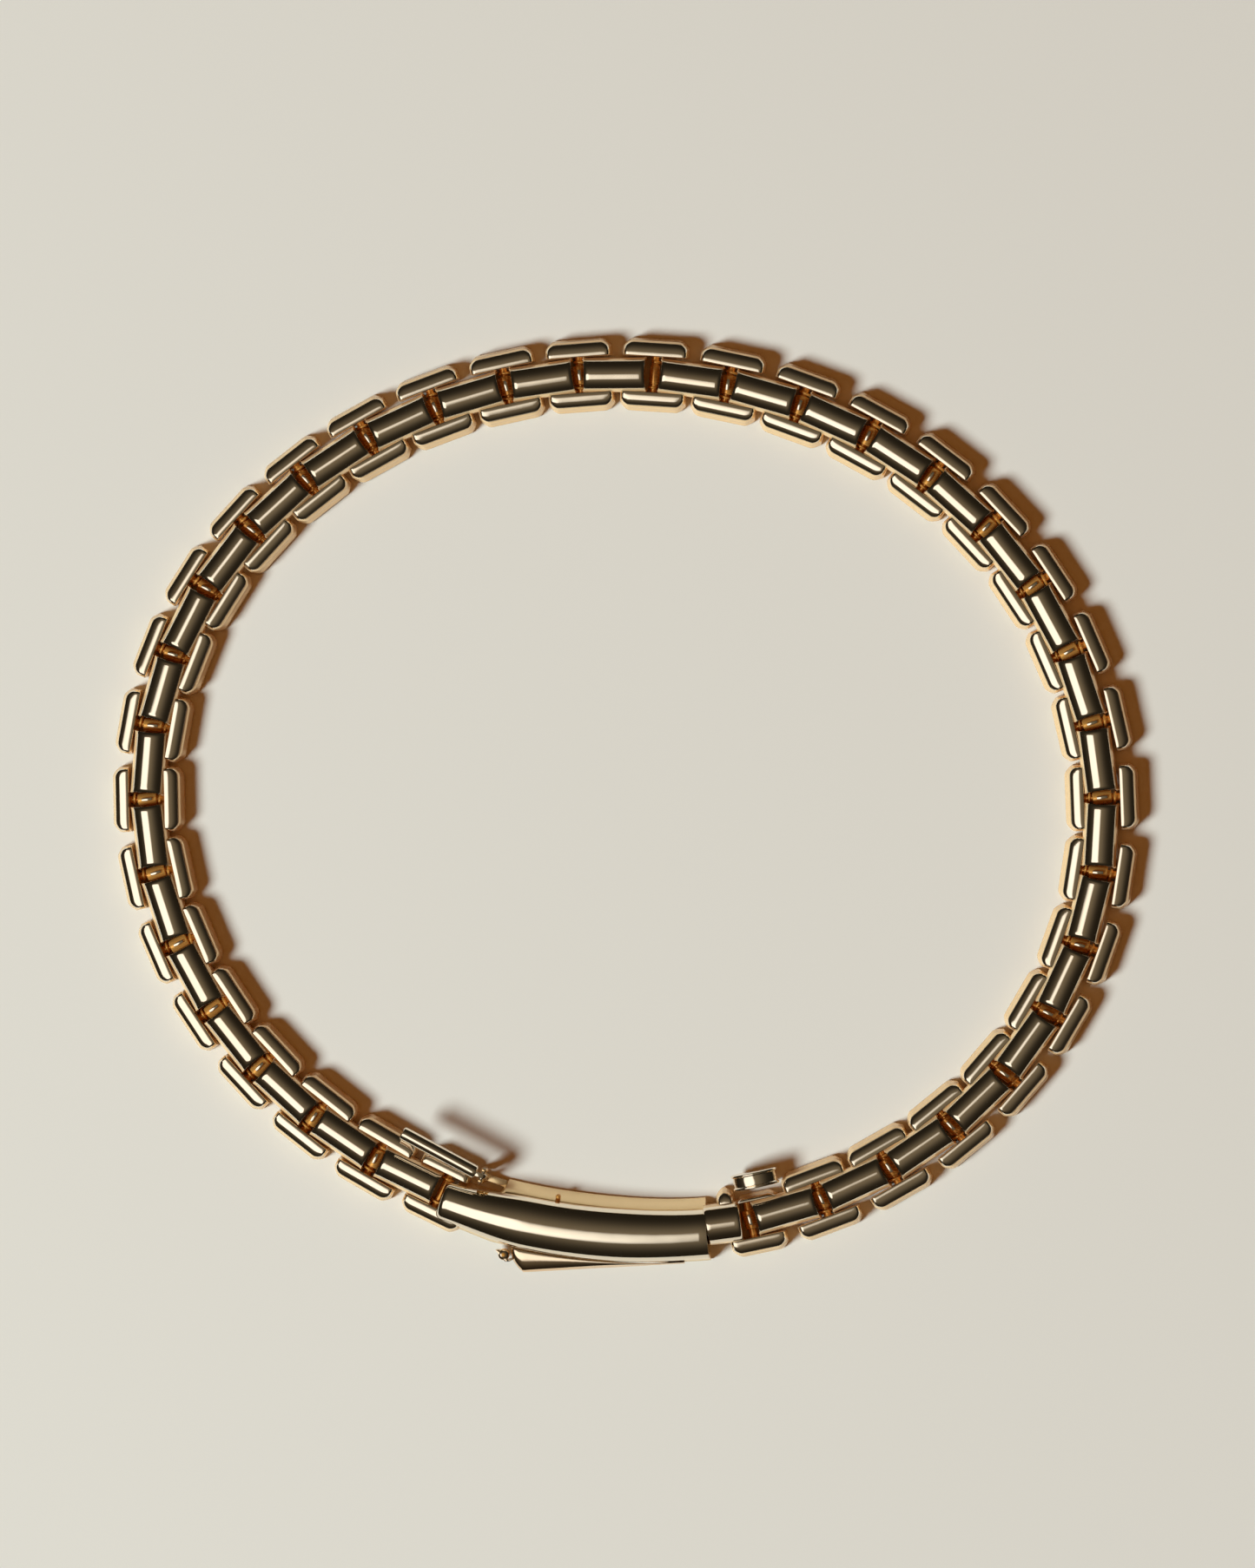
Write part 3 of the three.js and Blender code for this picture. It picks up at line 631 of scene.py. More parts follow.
def layTree():
    tree = bpy.data.node_groups.new("layOnRow", "GeometryNodeTree")
    tree.interface.new_socket("Row", in_out="INPUT", socket_type="NodeSocketGeometry")
    sockets = addInputs(tree, ["Shape"], "NodeSocketObject")
    sockets.update(addInputs(tree, ["Number", "Seed"], "NodeSocketInt"))
    sockets.update(addInputs(tree, ["Roll play"]))
    sockets.update(addInputs(tree, ["Material"], "NodeSocketMaterial"))
    tree.interface.new_socket("Geometry", in_out="OUTPUT", socket_type="NodeSocketGeometry")
    wiring = Wiring(tree)
    given = wiring.node("NodeGroupInput")
    number = wiring.other(given, "Number")
    chosen = wiring.node("FunctionNodeCompare", {"data_type": "INT", "operation": "EQUAL"}, {
        2: wiring.node("GeometryNodeInputIndex"), 3: number})
    heading = wiring.node("GeometryNodeInputNamedAttribute", {"data_type": "FLOAT"}, {"Name": "heading"})
    play = wiring.other(given, "Roll play")
    roll = wiring.node("FunctionNodeRandomValue", {"data_type": "FLOAT"}, {
        2: -1.0, 3: 1.0, "ID": number, "Seed": wiring.other(given, "Seed")}, output=1)
    turn = wiring.node("ShaderNodeCombineXYZ", {}, {"X": roll * play, "Y": 0.0, "Z": heading})
    shape = wiring.node("GeometryNodeObjectInfo", {}, {"Object": wiring.other(given, "Shape")})
    shape = wiring.other(shape, "Geometry")
    rotation = wiring.node("FunctionNodeEulerToRotation", {}, {0: turn})
    laid = wiring.node("GeometryNodeInstanceOnPoints", {}, {
        "Points": wiring.other(given, "Row"), "Selection": chosen,
        "Instance": shape, "Rotation": rotation})
    whole = wiring.node("GeometryNodeRealizeInstances", {}, {0: laid})
    painted = wiring.node("GeometryNodeSetMaterial", {}, {
        "Geometry": whole, "Material": wiring.other(given, "Material")})
    wiring.node("NodeGroupOutput", {}, {0: painted})
    return tree, sockets


layingTree, layingSockets = layTree()


def rowMesh(name, places):
    mesh = bpy.data.meshes.new(name)
    mesh.from_pydata([tuple(point * ground) for point, turn in places], [], [])
    heading = mesh.attributes.new("heading", "FLOAT", "POINT")
    heading.data.foreach_set("value", [turn for point, turn in places])
    return mesh


def layOne(name, row, shape, number, material, play, seed):
    piece = bpy.data.objects.new(name, row.copy())
    bpy.context.scene.collection.objects.link(piece)
    laying = piece.modifiers.new("lay", "NODES")
    laying.node_group = layingTree
    laying[layingSockets["Shape"]] = shape
    laying[layingSockets["Number"]] = number
    laying[layingSockets["Seed"]] = seed
    laying[layingSockets["Roll play"]] = math.radians(play)
    laying[layingSockets["Material"]] = material
    return plain(piece, name)


collar = {
    "openSetback": 0.3,
    "centrePlay": 0.5,
    "sidePlay": 0.7,
    "centreSeed": 3,
    "sideSeed": 11,
}
brickShape = brickTemplate()
pairShape = sidePairTemplate()
pinShell = barAcross(0, *roundPin)
pinShape = meshFrom("pinShape", [pinShell], golds["shadedWireGold"])
strapShape = meshFrom("strapShape", strapShells(), golds["shadedWireGold"], bevel=softEdge)
freeStrap = strapShells(withKnuckle=False)
freeStrapShape = meshFrom("freeStrapShape", freeStrap, golds["shadedWireGold"], bevel=softEdge)
slimStrap = strapShells(collar=hingeWork["sleeveRadius"])
slimStrapShape = meshFrom("slimStrapShape", slimStrap, golds["shadedWireGold"], bevel=softEdge)
strapShapes = {openHinge: slimStrapShape, openHinge + 1: freeStrapShape}

middles = [((hinges[n] + hinges[n - 1]) / 2, linkTurns[n]) for n in range(1, linkCount + 1)]
# the brick after the open hinge stands a little clear of it
point, turn = middles[openHinge]
setback = Vector((math.cos(turn), math.sin(turn), 0)) * collar["openSetback"] * mm
middles[openHinge] = (point + setback, turn)
middleRow = rowMesh("middleRow", middles)
frontRow = rowMesh("frontRow", [(hinges[n], linkTurns[n]) for n in range(1, linkCount + 1)])
pairRow = rowMesh("pairRow", [(hinges[n], pairTurns[n]) for n in range(1, linkCount + 1)])

for number in range(1, linkCount + 1):
    body = linkName(number)
    index = number - 1
    tag = f"{number:02d}"
    brick = layOne("centre_brick_" + tag, middleRow, brickShape, index, golds["rowGold"],
                   collar["centrePlay"], collar["centreSeed"])
    put(brick, body, "polished_gold", body)
    strap = layOne("hinge_strap_" + tag, frontRow, strapShapes.get(number, strapShape), index,
                   golds["shadedWireGold"], 0, 0)
    put(strap, body, "pin_gold")
    if number < linkCount:
        pair = layOne("side_bricks_" + tag, pairRow, pairShape, index, golds["sideGold"],
                      collar["sidePlay"], collar["sideSeed"])
        put(pair, body, "polished_gold")
        pin = layOne("hinge_pin_" + tag, pairRow, pinShape, index, golds["shadedWireGold"], 0, 0)
        put(pin, body, "pin_gold")

# the knuckle at the open hinge stays on its pin
openShells = rearKnuckle(0, hingeWork["sleeveRadius"], hasCrest=False)
openPlace = placeAt(hinges[openHinge], pairTurns[openHinge])
openKnuckle = meshFrom("open_knuckle", openShells, golds["shadedWireGold"], place=openPlace, bevel=softEdge)
put(openKnuckle, linkName(openHinge), "pin_gold")
print("collar laid:", linkCount, "links")


# Clasp: places on its curved centre line, in millimetres from the hinge at its left end

claspBox = {
    "radius": 91,
    "turn": math.radians(-14),
    "startX": 0.1,
    "startY": -1.2,
    "length": 38.2,
}
claspTurn = angleOf(hinges[0] - hinges[linkCount])
claspPlace = placeAt(hinges[linkCount], claspTurn)
boxCentre = Vector((
    claspBox["startX"] - claspBox["radius"] * math.sin(claspBox["turn"]),
    claspBox["startY"] + claspBox["radius"] * math.cos(claspBox["turn"]), 0))


def boxPoint(along, inward, height=0):
    heading = claspBox["turn"] + along / claspBox["radius"]
    reach = claspBox["radius"] - inward
    return Vector((
        boxCentre.x + reach * math.sin(heading),
        boxCentre.y - reach * math.cos(heading), height))


def smooth(low, high, value):
    share = min(1, max(0, (value - low) / (high - low)))
    return share * share * (3 - 2 * share)


claspCover = {
    "noseHalf": 2.7,
    "half": 3.72,
    "mouthHalf": 3.5,
    "foot": 2.45,
    "noseTop": 4.45,
    "top": 5.25,
    "noseRound": 0.95,
    "noseStart": -0.22,
    "noseInset": 0.85,
    "wall": 0.5,
    "evenWall": False,
    "rim": 0.12,
    "rimSegments": 3,
    "widenEnd": 13,
    "riseEnd": 12,
    "narrowStart": 24,
    "arcSteps": 29,
    "lip": 0.25,
    "flatness": 0.92,
}


# half the width of the cover's foot, at a place along the box
def coverHalf(spot):
    size = claspCover
    half = size["noseHalf"] + (size["half"] - size["noseHalf"]) * smooth(0, size["widenEnd"], spot)
    narrowing = smooth(size["narrowStart"], claspBox["length"], spot)
    return half - (size["half"] - size["mouthHalf"]) * narrowing


def coverPiece():
    size = claspCover
    length = claspBox["length"]
    rise, steps = size["riseEnd"], size["arcSteps"]
    # close rows round the nose, then even ones
    spots = [-0.2, -0.1, 0.02, 0.1, 0.25, 0.45, 0.7, 1.0, 1.5, 2.2, 3, 4, 5, 6, 7, 8, 9, 10, 11, 12]
    spots += [rise + (length - rise) * step / 22 for step in range(1, 23)]
    rings = []
    for spot in spots:
        half = coverHalf(spot)
        top = size["noseTop"] + (size["top"] - size["noseTop"]) * smooth(0, rise, spot)
        near = min(1, max(0, 1 - (spot - size["noseStart"]) / size["noseRound"]))
        inset = size["noseInset"] * (1 - math.sqrt(max(0, 1 - near * near)))
        half -= inset
        top -= inset
        ring = [boxPoint(spot, -half, size["foot"])]
        for step in range(steps):
            turn = math.pi * step / (steps - 1)
            crown = (top - size["foot"] - size["lip"]) * math.sin(turn) ** size["flatness"]
            ring.append(boxPoint(spot, -half * math.cos(turn), size["foot"] + size["lip"] + crown))
        ring.append(boxPoint(spot, half, size["foot"]))
        rings.append(ring)
    first = rings[0]
    rings.insert(0, [Vector((point.x, point.y, size["foot"])) for point in first])
    count = len(first)
    points = [point for ring in rings for point in ring]
    faces = []
    for row in range(len(rings) - 1):
        for column in range(count - 1):
            faces.append((row * count + column, row * count + column + 1,
                          (row + 1) * count + column + 1, (row + 1) * count + column))
    mesh = bpy.data.meshes.new("clasp_cover_shell")
    mesh.from_pydata([tuple(point * mm) for point in points], [], faces)
    piece = bpy.data.objects.new("clasp_cover_shell", mesh)
    bpy.context.scene.collection.objects.link(piece)
    outward(mesh, isSheet=True)
    piece = thickened(piece, "clasp_cover_shell", size)
    piece.data.transform(claspPlace)
    outward(piece.data)
    shade(piece, golds["coverGold"], 40)
    return piece


put(coverPiece(), "clasp_box", "polished_gold", "clasp_cover")

claspBase = {
    "start": 1.45,
    "outerFoot": 3.9,
    "ledgeStart": 7.5,
    "ledgeEnd": 8.6,
    "neckInner": 3.3,
    "inner": 5.3,
    "innerMouth": 4.95,
    "top": 2.72,
    "bend": 1.75,
    "floor": 0.8,
    "floorStart": 6,
    "wall": 0.6,
    "seat": 0.15,
    "flare": 0.5,
    "bendShare": 0.48,
    "taperStart": 18,
    "edge": 0.09,
}


def basePiece():
    size = claspBase
    length = claspBox["length"]
    ledgeStart, ledgeEnd = size["ledgeStart"], size["ledgeEnd"]
    rings = []
    spots = [size["start"] + (ledgeStart - size["start"]) * step / 5 for step in range(6)]
    spots += [ledgeStart + (ledgeEnd - ledgeStart) * step / 5 for step in range(1, 6)]
    spots += [ledgeEnd + (length - ledgeEnd) * step / 26 for step in range(1, 27)]
    for spot in spots:
        half = coverHalf(spot)
        seat = half - size["seat"]
        grown = smooth(ledgeStart, ledgeEnd, spot)
        inner = size["neckInner"] + (size["inner"] - size["neckInner"]) * grown
        inner -= (size["inner"] - size["innerMouth"]) * smooth(size["taperStart"], length, spot)
        inner = max(inner, seat + 0.1)
        outer = min(half + size["flare"], size["outerFoot"])
        depth = size["floor"] if spot > size["floorStart"] else size["top"] - 0.1
        mid = seat + (inner - seat) * size["bendShare"]
        # the flank bends once, so it reads as two bands
        section = [
            (-outer + 0.15, 0), (-outer, 0.25), (-outer, 1.1), (-seat, size["top"]),
            (-seat + size["wall"], size["top"]), (-seat + size["wall"], depth),
            (seat - size["wall"], depth), (seat - size["wall"], size["top"]), (seat, size["top"]),
            (mid, size["bend"]), (mid + 0.04, size["bend"] - 0.12),
            (inner, 0.42), (inner, 0.2), (inner - 0.15, 0)]
        rings.append([boxPoint(spot, inward, height) for inward, height in section])
    return meshFrom("clasp_base_body", [loft(rings)], golds["baseGold"],
                    place=claspPlace, bevel=size["edge"], sharpAngle=50)


put(basePiece(), "clasp_box", "polished_gold", "clasp_base")


# End bricks beside the clasp

endBricks = {
    "back": 4.6,
    "innerFront": 2.9,
    "outerFront": 4.4,
}
innerEnd = sideBrickShell(back=endBricks["back"], front=endBricks["innerFront"])
outerEnd = flipped(sideBrickShell(back=endBricks["back"], front=endBricks["outerFront"]))
endPlace = placeAt(hinges[linkCount], linkTurns[linkCount])
endBrickInner = brickPiece("clasp_brick_inner_body", [innerEnd], endPlace)
put(endBrickInner, "clasp_box", "polished_gold", "clasp_brick_inner")
endBrickOuter = brickPiece("clasp_brick_outer_body", [outerEnd], endPlace)
put(endBrickOuter, "clasp_box", "polished_gold", "clasp_brick_outer")
claspPin = meshFrom("clasp_pin_body", [pinShell], golds["shadedWireGold"], place=endPlace)
put(claspPin, "clasp_box", "pin_gold", "clasp_hinge_pin")


# Tongue: head, brick pair, thumb button

tonguePlace = placeAt(hinges[0], tongueTurn)
pairPlace = placeAt(hinges[0], pairTurns[0])
tongueHead = {
    "start": -6.35,
    "end": -1.2,
    "width": 5.75,
    "foot": 0.35,
    "shoulder": 2.3,
    "top": 4.85,
    "round": 0.4,
}


def domedBar(start, end, width, foot, shoulder, top, round, steps=19, rows=15):
    tuck = 0.75
    rings = []
    for x in endSpacing(start, end, rows):
        near = max(0, 1 - min(x - start, end - x) / round)
        inset = round * tuck * (1 - math.sqrt(max(0, 1 - near * near)))
        half = width / 2 - inset
        ring = [Vector((x, half, foot + inset)), Vector((x, half, shoulder))]
        for step in range(1, steps):
            turn = math.pi * step / steps
            crown = (top - inset - shoulder) * math.sin(turn)
            ring.append(Vector((x, half * math.cos(turn), shoulder + crown)))
        ring.extend([Vector((x, -half, shoulder)), Vector((x, -half, foot + inset))])
        rings.append(ring)
    return loft(rings)


head = meshFrom("tongue_head_body", [domedBar(**tongueHead)], golds["rowGold"],
                place=tonguePlace, sharpAngle=50)
put(head, "tongue", "polished_gold", "tongue_head")

headBricks = {
    "outerBack": 3.4,
    "innerBack": 4.1,
    "wideFront": -1.6,
    "slimBack": 1.75,
    "slimOuter": 3.55,
}
headOuterShell = flipped(sideBrickShell(back=headBricks["outerBack"]))
headBrickOuter = brickPiece("head_brick_outer_body", [headOuterShell], pairPlace)
put(headBrickOuter, "tongue", "polished_gold", "head_brick_outer")
# the inner brick narrows where the button sinks in
headBrickInner = brickPiece("head_brick_inner_body", [
    sideBrickShell(back=headBricks["innerBack"], front=headBricks["wideFront"]),
    sideBrickShell(back=headBricks["slimBack"], outer=headBricks["slimOuter"])], pairPlace)
put(headBrickInner, "tongue", "polished_gold", "head_brick_inner")
headPin = meshFrom("head_pin_body", [pinShell], golds["shadedWireGold"], place=pairPlace)
put(headPin, "tongue", "pin_gold", "head_hinge_pin")

thumbButton = {
    "ahead": 1.9,
    "length": 6.6,
    "height": 4.3,
    "foot": 0.15,
    "start": 4.3,
    "depth": 2.25,
    "waist": 0.22,
    "lip": 0.32,
    "sides": 40,
    "edge": 0.03,
}


def buttonShell():
    size = thumbButton
    middle = size["foot"] + size["height"] / 2
    lip = size["lip"]
    deep = size["depth"]
    waist, sides = size["waist"], size["sides"]
    rings = []
    # a drum with a raised lip at each end
    for y, inset in ((0, 0.12), (0.08, 0.02), (lip, 0), (lip + 0.12, waist), (deep / 2, waist * 0.8),
                     (deep - lip - 0.12, waist), (deep - lip, 0), (deep - 0.08, 0.02), (deep, 0.14)):
        ring = []
        for k in range(sides):
            turn = 2 * math.pi * k / sides
            ring.append(Vector((
                size["ahead"] + (size["length"] / 2 - inset) * math.cos(turn), size["start"] + y,
                middle + (size["height"] / 2 - inset) * math.sin(turn))))
        rings.append(ring)
    return loft(rings)


button = meshFrom("thumb_button_body", [buttonShell()], golds["plainGold"],
                  place=pairPlace, bevel=thumbButton["edge"], sharpAngle=55)
put(button, "release_button", "polished_gold", "release_button")


# Safety bar, folded open, with its knuckle, ears and pin

safetyBar = {
    "along": 4.7,
    "inward": 5.2,
    "axisTurn": math.radians(-14.8),
    "lay": math.radians(-8.2),
    "axisHeight": 4.2,
    "length": 12.8,
    "start": 0.9,
    "width": 1.95,
    "foot": 4.55,
    "top": 5.6,
    "shoulder": 0.25,
    "endRound": 0.3,
    "bore": 0.3,
    "pinRadius": 0.28,
    "pinHalf": 1.12,
    "knuckle": 0.66,
    "knuckleHalf": 0.32,
    "earGap": 0.28,
    "earWall": 0.38,
    "earTop": 0.52,
    "earFoot": 0.3,
    "earEdge": 0.07,
}
barSpot = boxPoint(safetyBar["along"], safetyBar["inward"])
barPlace = claspPlace @ Matrix.Translation(barSpot * mm) @ Matrix.Rotation(safetyBar["axisTurn"], 4, "Z")


def turnedShell(shell, turn):
    points, faces = shell
    matrix = Matrix.Rotation(turn, 3, "Z")
    return [matrix @ point for point in points], faces


def barShells():
    size = safetyBar
    foot, axis, half = size["foot"], size["axisHeight"], size["knuckleHalf"]
    bar = domedBar(-size["length"], -size["start"], size["width"], foot, foot + size["shoulder"],
                   size["top"], size["endRound"])
    knuckle = ringAcross(0, axis, size["bore"], size["knuckle"], -half, half)
    shank = block((-1.4, -half, axis + 0.3), (0.05, half, foot + 0.5))
    return [turnedShell(bar, size["lay"]), knuckle, shank]


foldedBar = meshFrom("safety_bar_body", barShells(), golds["plainGold"],
                     place=barPlace, bevel=softEdge, sharpAngle=45)
put(foldedBar, "safety_bar", "polished_gold", "safety_bar")


def earShells():
    size = safetyBar
    foot, axis = size["earFoot"], size["axisHeight"]
    inner = size["knuckleHalf"] + size["earGap"]
    peak = axis + size["earTop"]
    outline = ((-0.45, foot), (0.7, foot), (0.5, axis), (0.3, peak), (-0.3, peak), (-0.5, axis))
    shells = []
    for side in (-1, 1):
        low, high = sorted((side * inner, side * (inner + size["earWall"])))
        shells.append(loft([[Vector((x, y, z)) for x, z in outline] for y in (low, high)]))
    # the pad that carries the ears on the ledge
    shells.append(block((-0.35, -inner - 0.3, foot), (3.4, 0.1, foot + 0.5)))
    return shells


ears = meshFrom("safety_ears", earShells(), golds["baseGold"],
                place=barPlace, bevel=safetyBar["earEdge"], sharpAngle=40)
put(ears, "clasp_box", "polished_gold")
safetyPinShell = barAcross(0, safetyBar["axisHeight"], safetyBar["pinRadius"],
                           -safetyBar["pinHalf"], safetyBar["pinHalf"], round=0.1)
safetyPin = meshFrom("safety_pin_body", [safetyPinShell], golds["shadedWireGold"], place=barPlace)
put(safetyPin, "clasp_box", "pin_gold", "safety_bar_pin")


def roundPost(x, y, radius, low, high, sides=20):
    rings = []
    for z, share in ((low, 1), (high - radius * 0.5, 1), (high - radius * 0.2, 0.88), (high, 0.5)):
        ring = []
        for k in range(sides):
            turn = 2 * math.pi * k / sides
            ring.append(Vector((x + radius * share * math.cos(turn), y + radius * share * math.sin(turn), z)))
        rings.append(ring)
    return loft(rings)


studRadius = 0.35
studLow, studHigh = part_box("safety_stud")
studMiddle = (studLow + studHigh) / (2 * mm)
studShell = roundPost(studMiddle.x, studMiddle.y, studRadius, studLow.z / mm, studHigh.z / mm)
stud = meshFrom("safety_stud_body", [studShell], golds["shadedWireGold"])
put(stud, "clasp_box", "pin_gold", "safety_stud")


# Lock lever along the outside of the box

lockLever = {
    "along": 10.2,
    "outward": 5.15,
    "turn": math.radians(8.5),
    "length": 25.5,
    "reach": 2.75,
    "foot": 0.9,
    "top": 2.4,
    "edge": 1.45,
    "wall": 4.02,
    "heel": 1.1,
    "heelCut": 1.9,
    "heelSpan": 1.5,
    "heelRound": 0.5,
    "tipWidth": 0.3,
    "skirt": 0.18,
    "edgeWidth": 0.06,
    "knuckle": 0.82,
    "pinRadius": 0.3,
    "pinFoot": 0.05,
    "pinRise": 0.12,
}
leverSpot = boxPoint(lockLever["along"], -lockLever["outward"])
leverPlace = claspPlace @ Matrix.Translation(leverSpot * mm) @ Matrix.Rotation(lockLever["turn"], 4, "Z")


def leverShells():
    size = lockLever
    back = Matrix.Rotation(-size["turn"], 3, "Z")
    heart = back @ (boxCentre - leverSpot)
    wall = claspBox["radius"] + size["wall"]
    low = size["foot"]
    rings = []
    for x in endSpacing(size["heel"], size["length"], 33):
        inner = heart.y - math.sqrt(wall * wall - (x - heart.x) ** 2)
        inner = min(inner, size["reach"] * 0.9)
        near = max(0, 1 - (x - size["heel"]) / size["heelSpan"])
        outer = -size["reach"] + size["heelCut"] * near ** 1.4
        inner = max(inner, outer + size["tipWidth"])
        width = inner - outer
        swell = math.sqrt(max(0, 1 - max(0, 1 - (x - size["heel"]) / size["heelRound"]) ** 2))
        high = size["edge"] + (size["top"] - size["edge"]) * swell
        ring = [Vector((x, inner, low)), Vector((x, inner, high))]
        for step in range(1, 10):
            turn = math.pi / 2 * step / 9
            ring.append(Vector((x, inner - (width - size["skirt"]) * math.sin(turn),
                                size["edge"] + (high - size["edge"]) * math.cos(turn) ** 0.9)))
        ring.extend([Vector((x, outer, low + 0.2)), Vector((x, outer + 0.12, low))])
        rings.append(ring)
    # a bent arm joins the blade to its knuckle
    arm = []
    high = size["top"] - 0.1
    for x, y, half in ((-0.85, 0.75, 0.35), (-0.2, -0.1, 0.42), (0.5, -1.0, 0.42), (1.3, -0.6, 0.5)):
        arm.append([Vector((x - half, y, low)), Vector((x + half, y, low)),
                    Vector((x + half * 0.7, y, high)), Vector((x - half * 0.7, y, high))])
    return [loft(rings), loft(arm), roundPost(0, 0, size["knuckle"], low, size["top"])]


lever = meshFrom("lock_lever_body", leverShells(), golds["plainGold"],
                 place=leverPlace, bevel=lockLever["edgeWidth"], sharpAngle=42)
put(lever, "lock_lever", "polished_gold", "lock_lever")
leverPinShell = roundPost(0, 0, lockLever["pinRadius"], lockLever["pinFoot"],
                          lockLever["top"] + lockLever["pinRise"])
leverPin = meshFrom("lever_pin_body", [leverPinShell], golds["shadedWireGold"], place=leverPlace)
put(leverPin, "clasp_box", "pin_gold", "lock_lever_pin")


# Parts of the lock inside the box keep their CAD shapes

for nodeName, material, slot in (
        ("tongue_blade", golds["satinGold"], "spring_gold"),
        ("latch_leaf", golds["satinGold"], "spring_gold"),
        ("catch_block", golds["satinGold"], "inner_gold")):
    node = frame["nodes"][nodeName]
    node.data.materials.clear()
    node.data.materials.append(material)

for shape in (brickShape, pairShape, strapShape, freeStrapShape, slimStrapShape, pinShape):
    bpy.data.objects.remove(shape)
print("clasp built")


# Stage: pale floor, soft light, camera from almost straight above

stage = {
    "floorHalf": 3.0,
    "floorColour": (0.80, 0.775, 0.735, 1),
    "floorRough": 0.55,
    "floorShine": 0.2,
    "lensSide": 0.2209,
    "sensor": 36,
    "nearest": 0.01,
    "farthest": 50,
    "height": 0.8,
    "leanX": 0.08,
    "leanY": 0.02,
    "lookX": 0.0008,
    "lookY": 0.0031,
    "lookZ": 0.002,
}


def floorPiece():
    half = stage["floorHalf"]
    mesh = bpy.data.meshes.new("floor")
    corners = [(-half, -half, 0), (half, -half, 0), (half, half, 0), (-half, half, 0)]
    mesh.from_pydata(corners, [], [(0, 1, 2, 3)])
    floor = bpy.data.objects.new("floor", mesh)
    bpy.context.scene.collection.objects.link(floor)
    material = bpy.data.materials.new("paleFloor")
    material.use_nodes = True
    material.node_tree.nodes.clear()
    wiring = Wiring(material.node_tree)
    shader = wiring.node("ShaderNodeBsdfPrincipled", {}, {
        "Base Color": stage["floorColour"], "Roughness": stage["floorRough"],
        "Specular IOR Level": stage["floorShine"]})
    wiring.node("ShaderNodeOutputMaterial", {}, {"Surface": shader})
    mesh.materials.append(material)


def cameraPiece():
    data = bpy.data.cameras.new("camera")
    camera = bpy.data.objects.new("camera", data)
    bpy.context.scene.collection.objects.link(camera)
    look = Vector((stage["lookX"], stage["lookY"], stage["lookZ"]))
    away = Vector((stage["leanX"], stage["leanY"], 1)) * stage["height"]
    camera.location = look + away
    back = away.normalized()
    right = Vector((0, 1, 0)).cross(back).normalized()
    turned = Matrix((right, back.cross(right), back)).transposed()
    camera.rotation_mode = "QUATERNION"
    camera.rotation_quaternion = turned.to_quaternion()
    data.sensor_width = stage["sensor"]
    data.lens = stage["sensor"] * away.length / stage["lensSide"]
    data.clip_start = stage["nearest"]
    data.clip_end = stage["farthest"]
    bpy.context.scene.camera = camera


lighting = {
    "keyFrom": (-2.3, -1.2, 2.15),
    "keySize": 1.1,
    "keyPower": 148.0,
    "keyColour": (0.87, 0.98, 0.96),
    "fillFrom": (0.2, 0.2, 1.6),
    "fillSize": 2.6,
    "fillPower": 6.4,
    "fillColour": (1.0, 0.33, 0.04),
    "room": (0.014, 0.011, 0.007),
    "panelX": -0.45,
    "panelY": -0.2,
    "panelHalfX": 0.38,
    "panelHalfY": 0.29,
    "panelCore": 0.3,
    "panelEdge": 1.7,
    "panelColour": (1.12, 1.09, 1.02),
    "glow": (-0.1, -0.1, 1.0),
    "glowTightness": 7.0,
    "glowColour": (0.15, 0.12, 0.08),
}


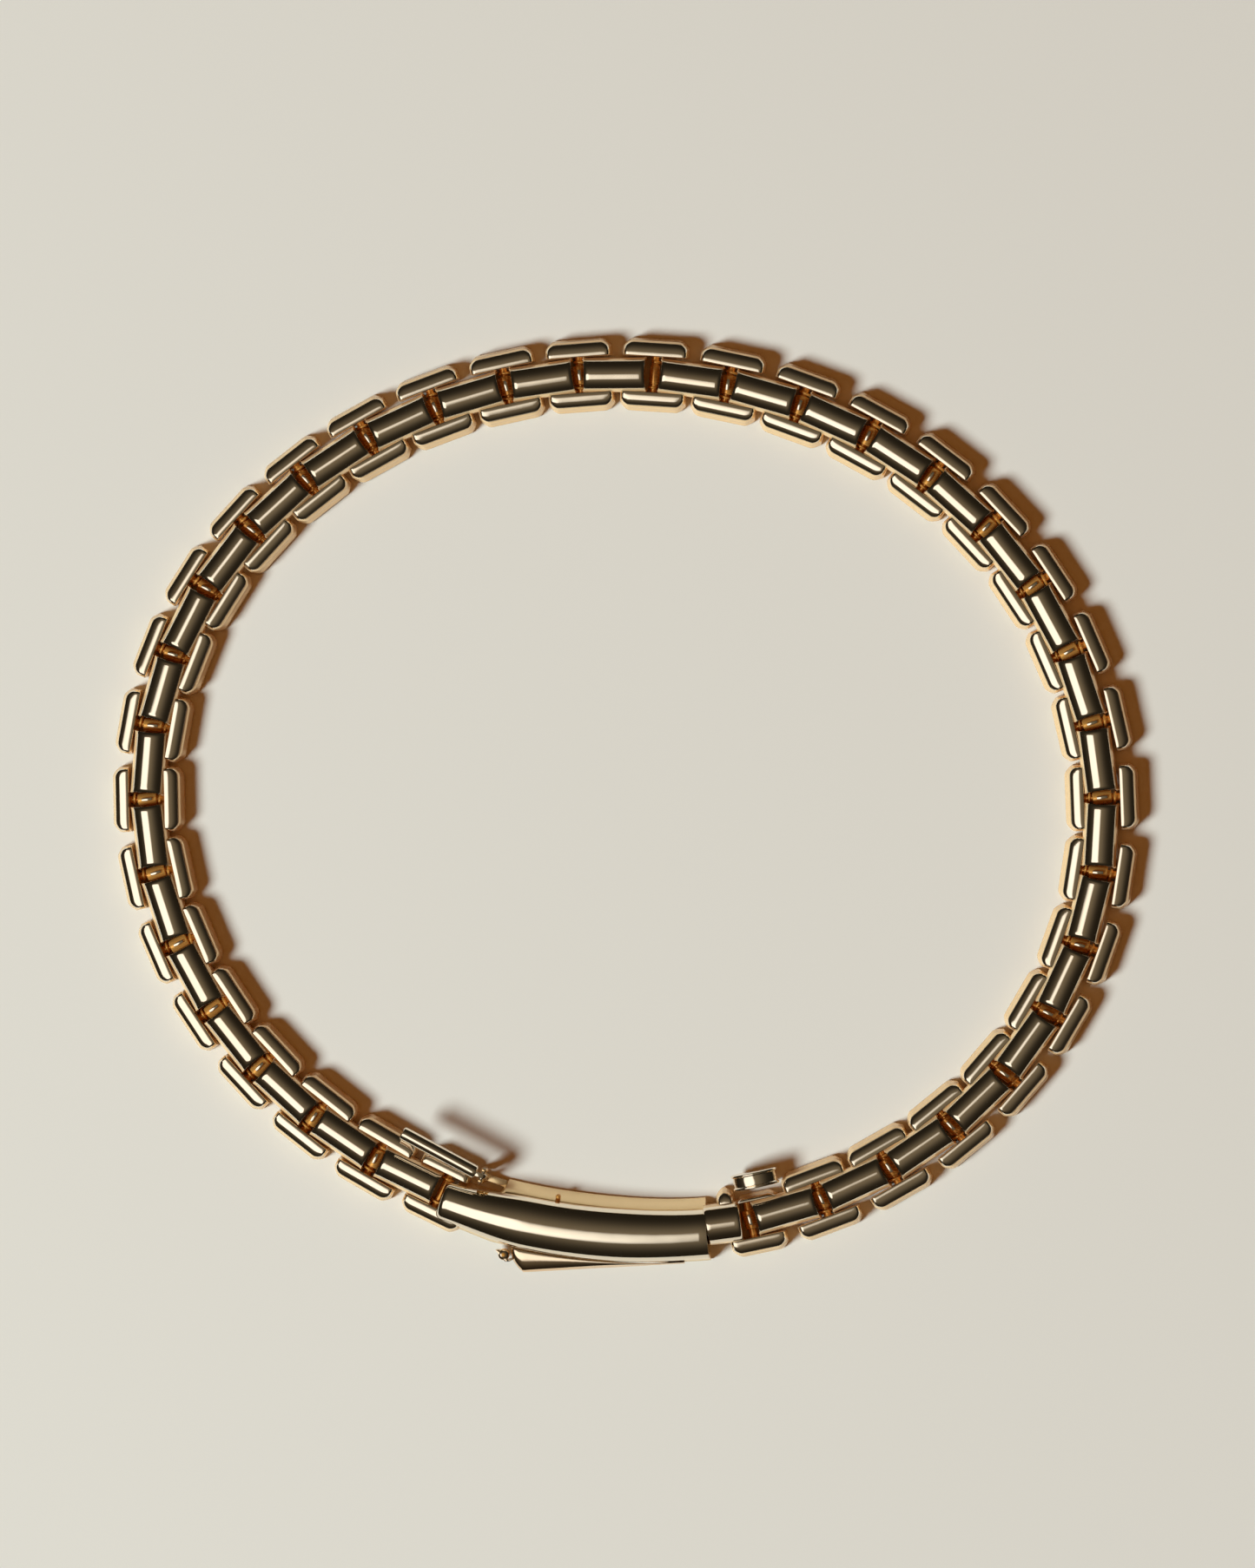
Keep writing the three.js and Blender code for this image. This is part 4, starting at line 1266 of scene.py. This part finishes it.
def softLight(name):
    data = bpy.data.lights.new(name + "Light", "AREA")
    data.shape = "DISK"
    data.size = lighting[name + "Size"]
    data.energy = lighting[name + "Power"]
    data.color = lighting[name + "Colour"]
    light = bpy.data.objects.new(name + "Light", data)
    bpy.context.scene.collection.objects.link(light)
    light.location = Vector(lighting[name + "From"])
    light.rotation_mode = "QUATERNION"
    light.rotation_quaternion = Vector(lighting[name + "From"]).to_track_quat("Z", "Y")
    # the metal mirrors only the soft room, as under a diffusing tent
    light.visible_glossy = False


def roomLight():
    world = bpy.data.worlds.new("softRoom")
    bpy.context.scene.world = world
    world.use_nodes = True
    # the slab is lit by the two lamps alone, which keeps its shadows deep and warm
    world.cycles_visibility.diffuse = False
    world.node_tree.nodes.clear()
    wiring = Wiring(world.node_tree)
    direction = wiring.node("ShaderNodeTexCoord")

    def closeness(middle):
        middle = tuple(Vector(middle).normalized())
        return wiring.other(wiring.node("ShaderNodeVectorMath", {"operation": "DOT_PRODUCT"}, {
            0: direction, 1: middle}), "Value")

    def tinted(colour, strength):
        return wiring.node("ShaderNodeVectorMath", {"operation": "SCALE"}, {
            0: colour, "Scale": strength})

    def added(first, second):
        return wiring.node("ShaderNodeVectorMath", {"operation": "ADD"}, {0: first, 1: second})

    parts = wiring.node("ShaderNodeSeparateXYZ", {}, {0: direction})
    up = wiring.other(parts, "Z").between(0.05, 1)
    acrossX = (wiring.other(parts, "X") / up - lighting["panelX"]) / lighting["panelHalfX"]
    acrossY = (wiring.other(parts, "Y") / up - lighting["panelY"]) / lighting["panelHalfY"]
    squaredX, squaredY = acrossX * acrossX, acrossY * acrossY
    reached = squaredX * squaredX + squaredY * squaredY
    core, edge = lighting["panelCore"], lighting["panelEdge"]
    panel = ((edge - reached) / (edge - core)).between(0, 1)
    panel = panel * panel * (3 - 2 * panel)
    near = closeness(lighting["glow"])
    glow = near.math("EXPONENT", (near - 1) * lighting["glowTightness"])
    total = added(tinted(lighting["panelColour"], panel), tinted(lighting["glowColour"], glow))
    total = added(total, lighting["room"])
    background = wiring.node("ShaderNodeBackground", {}, {"Color": total, "Strength": 1.0})
    wiring.node("ShaderNodeOutputWorld", {}, {"Surface": background})


floorPiece()
cameraPiece()
softLight("key")
softLight("fill")
roomLight()
bpy.context.scene.view_settings.view_transform = "Standard"
print("stage set")
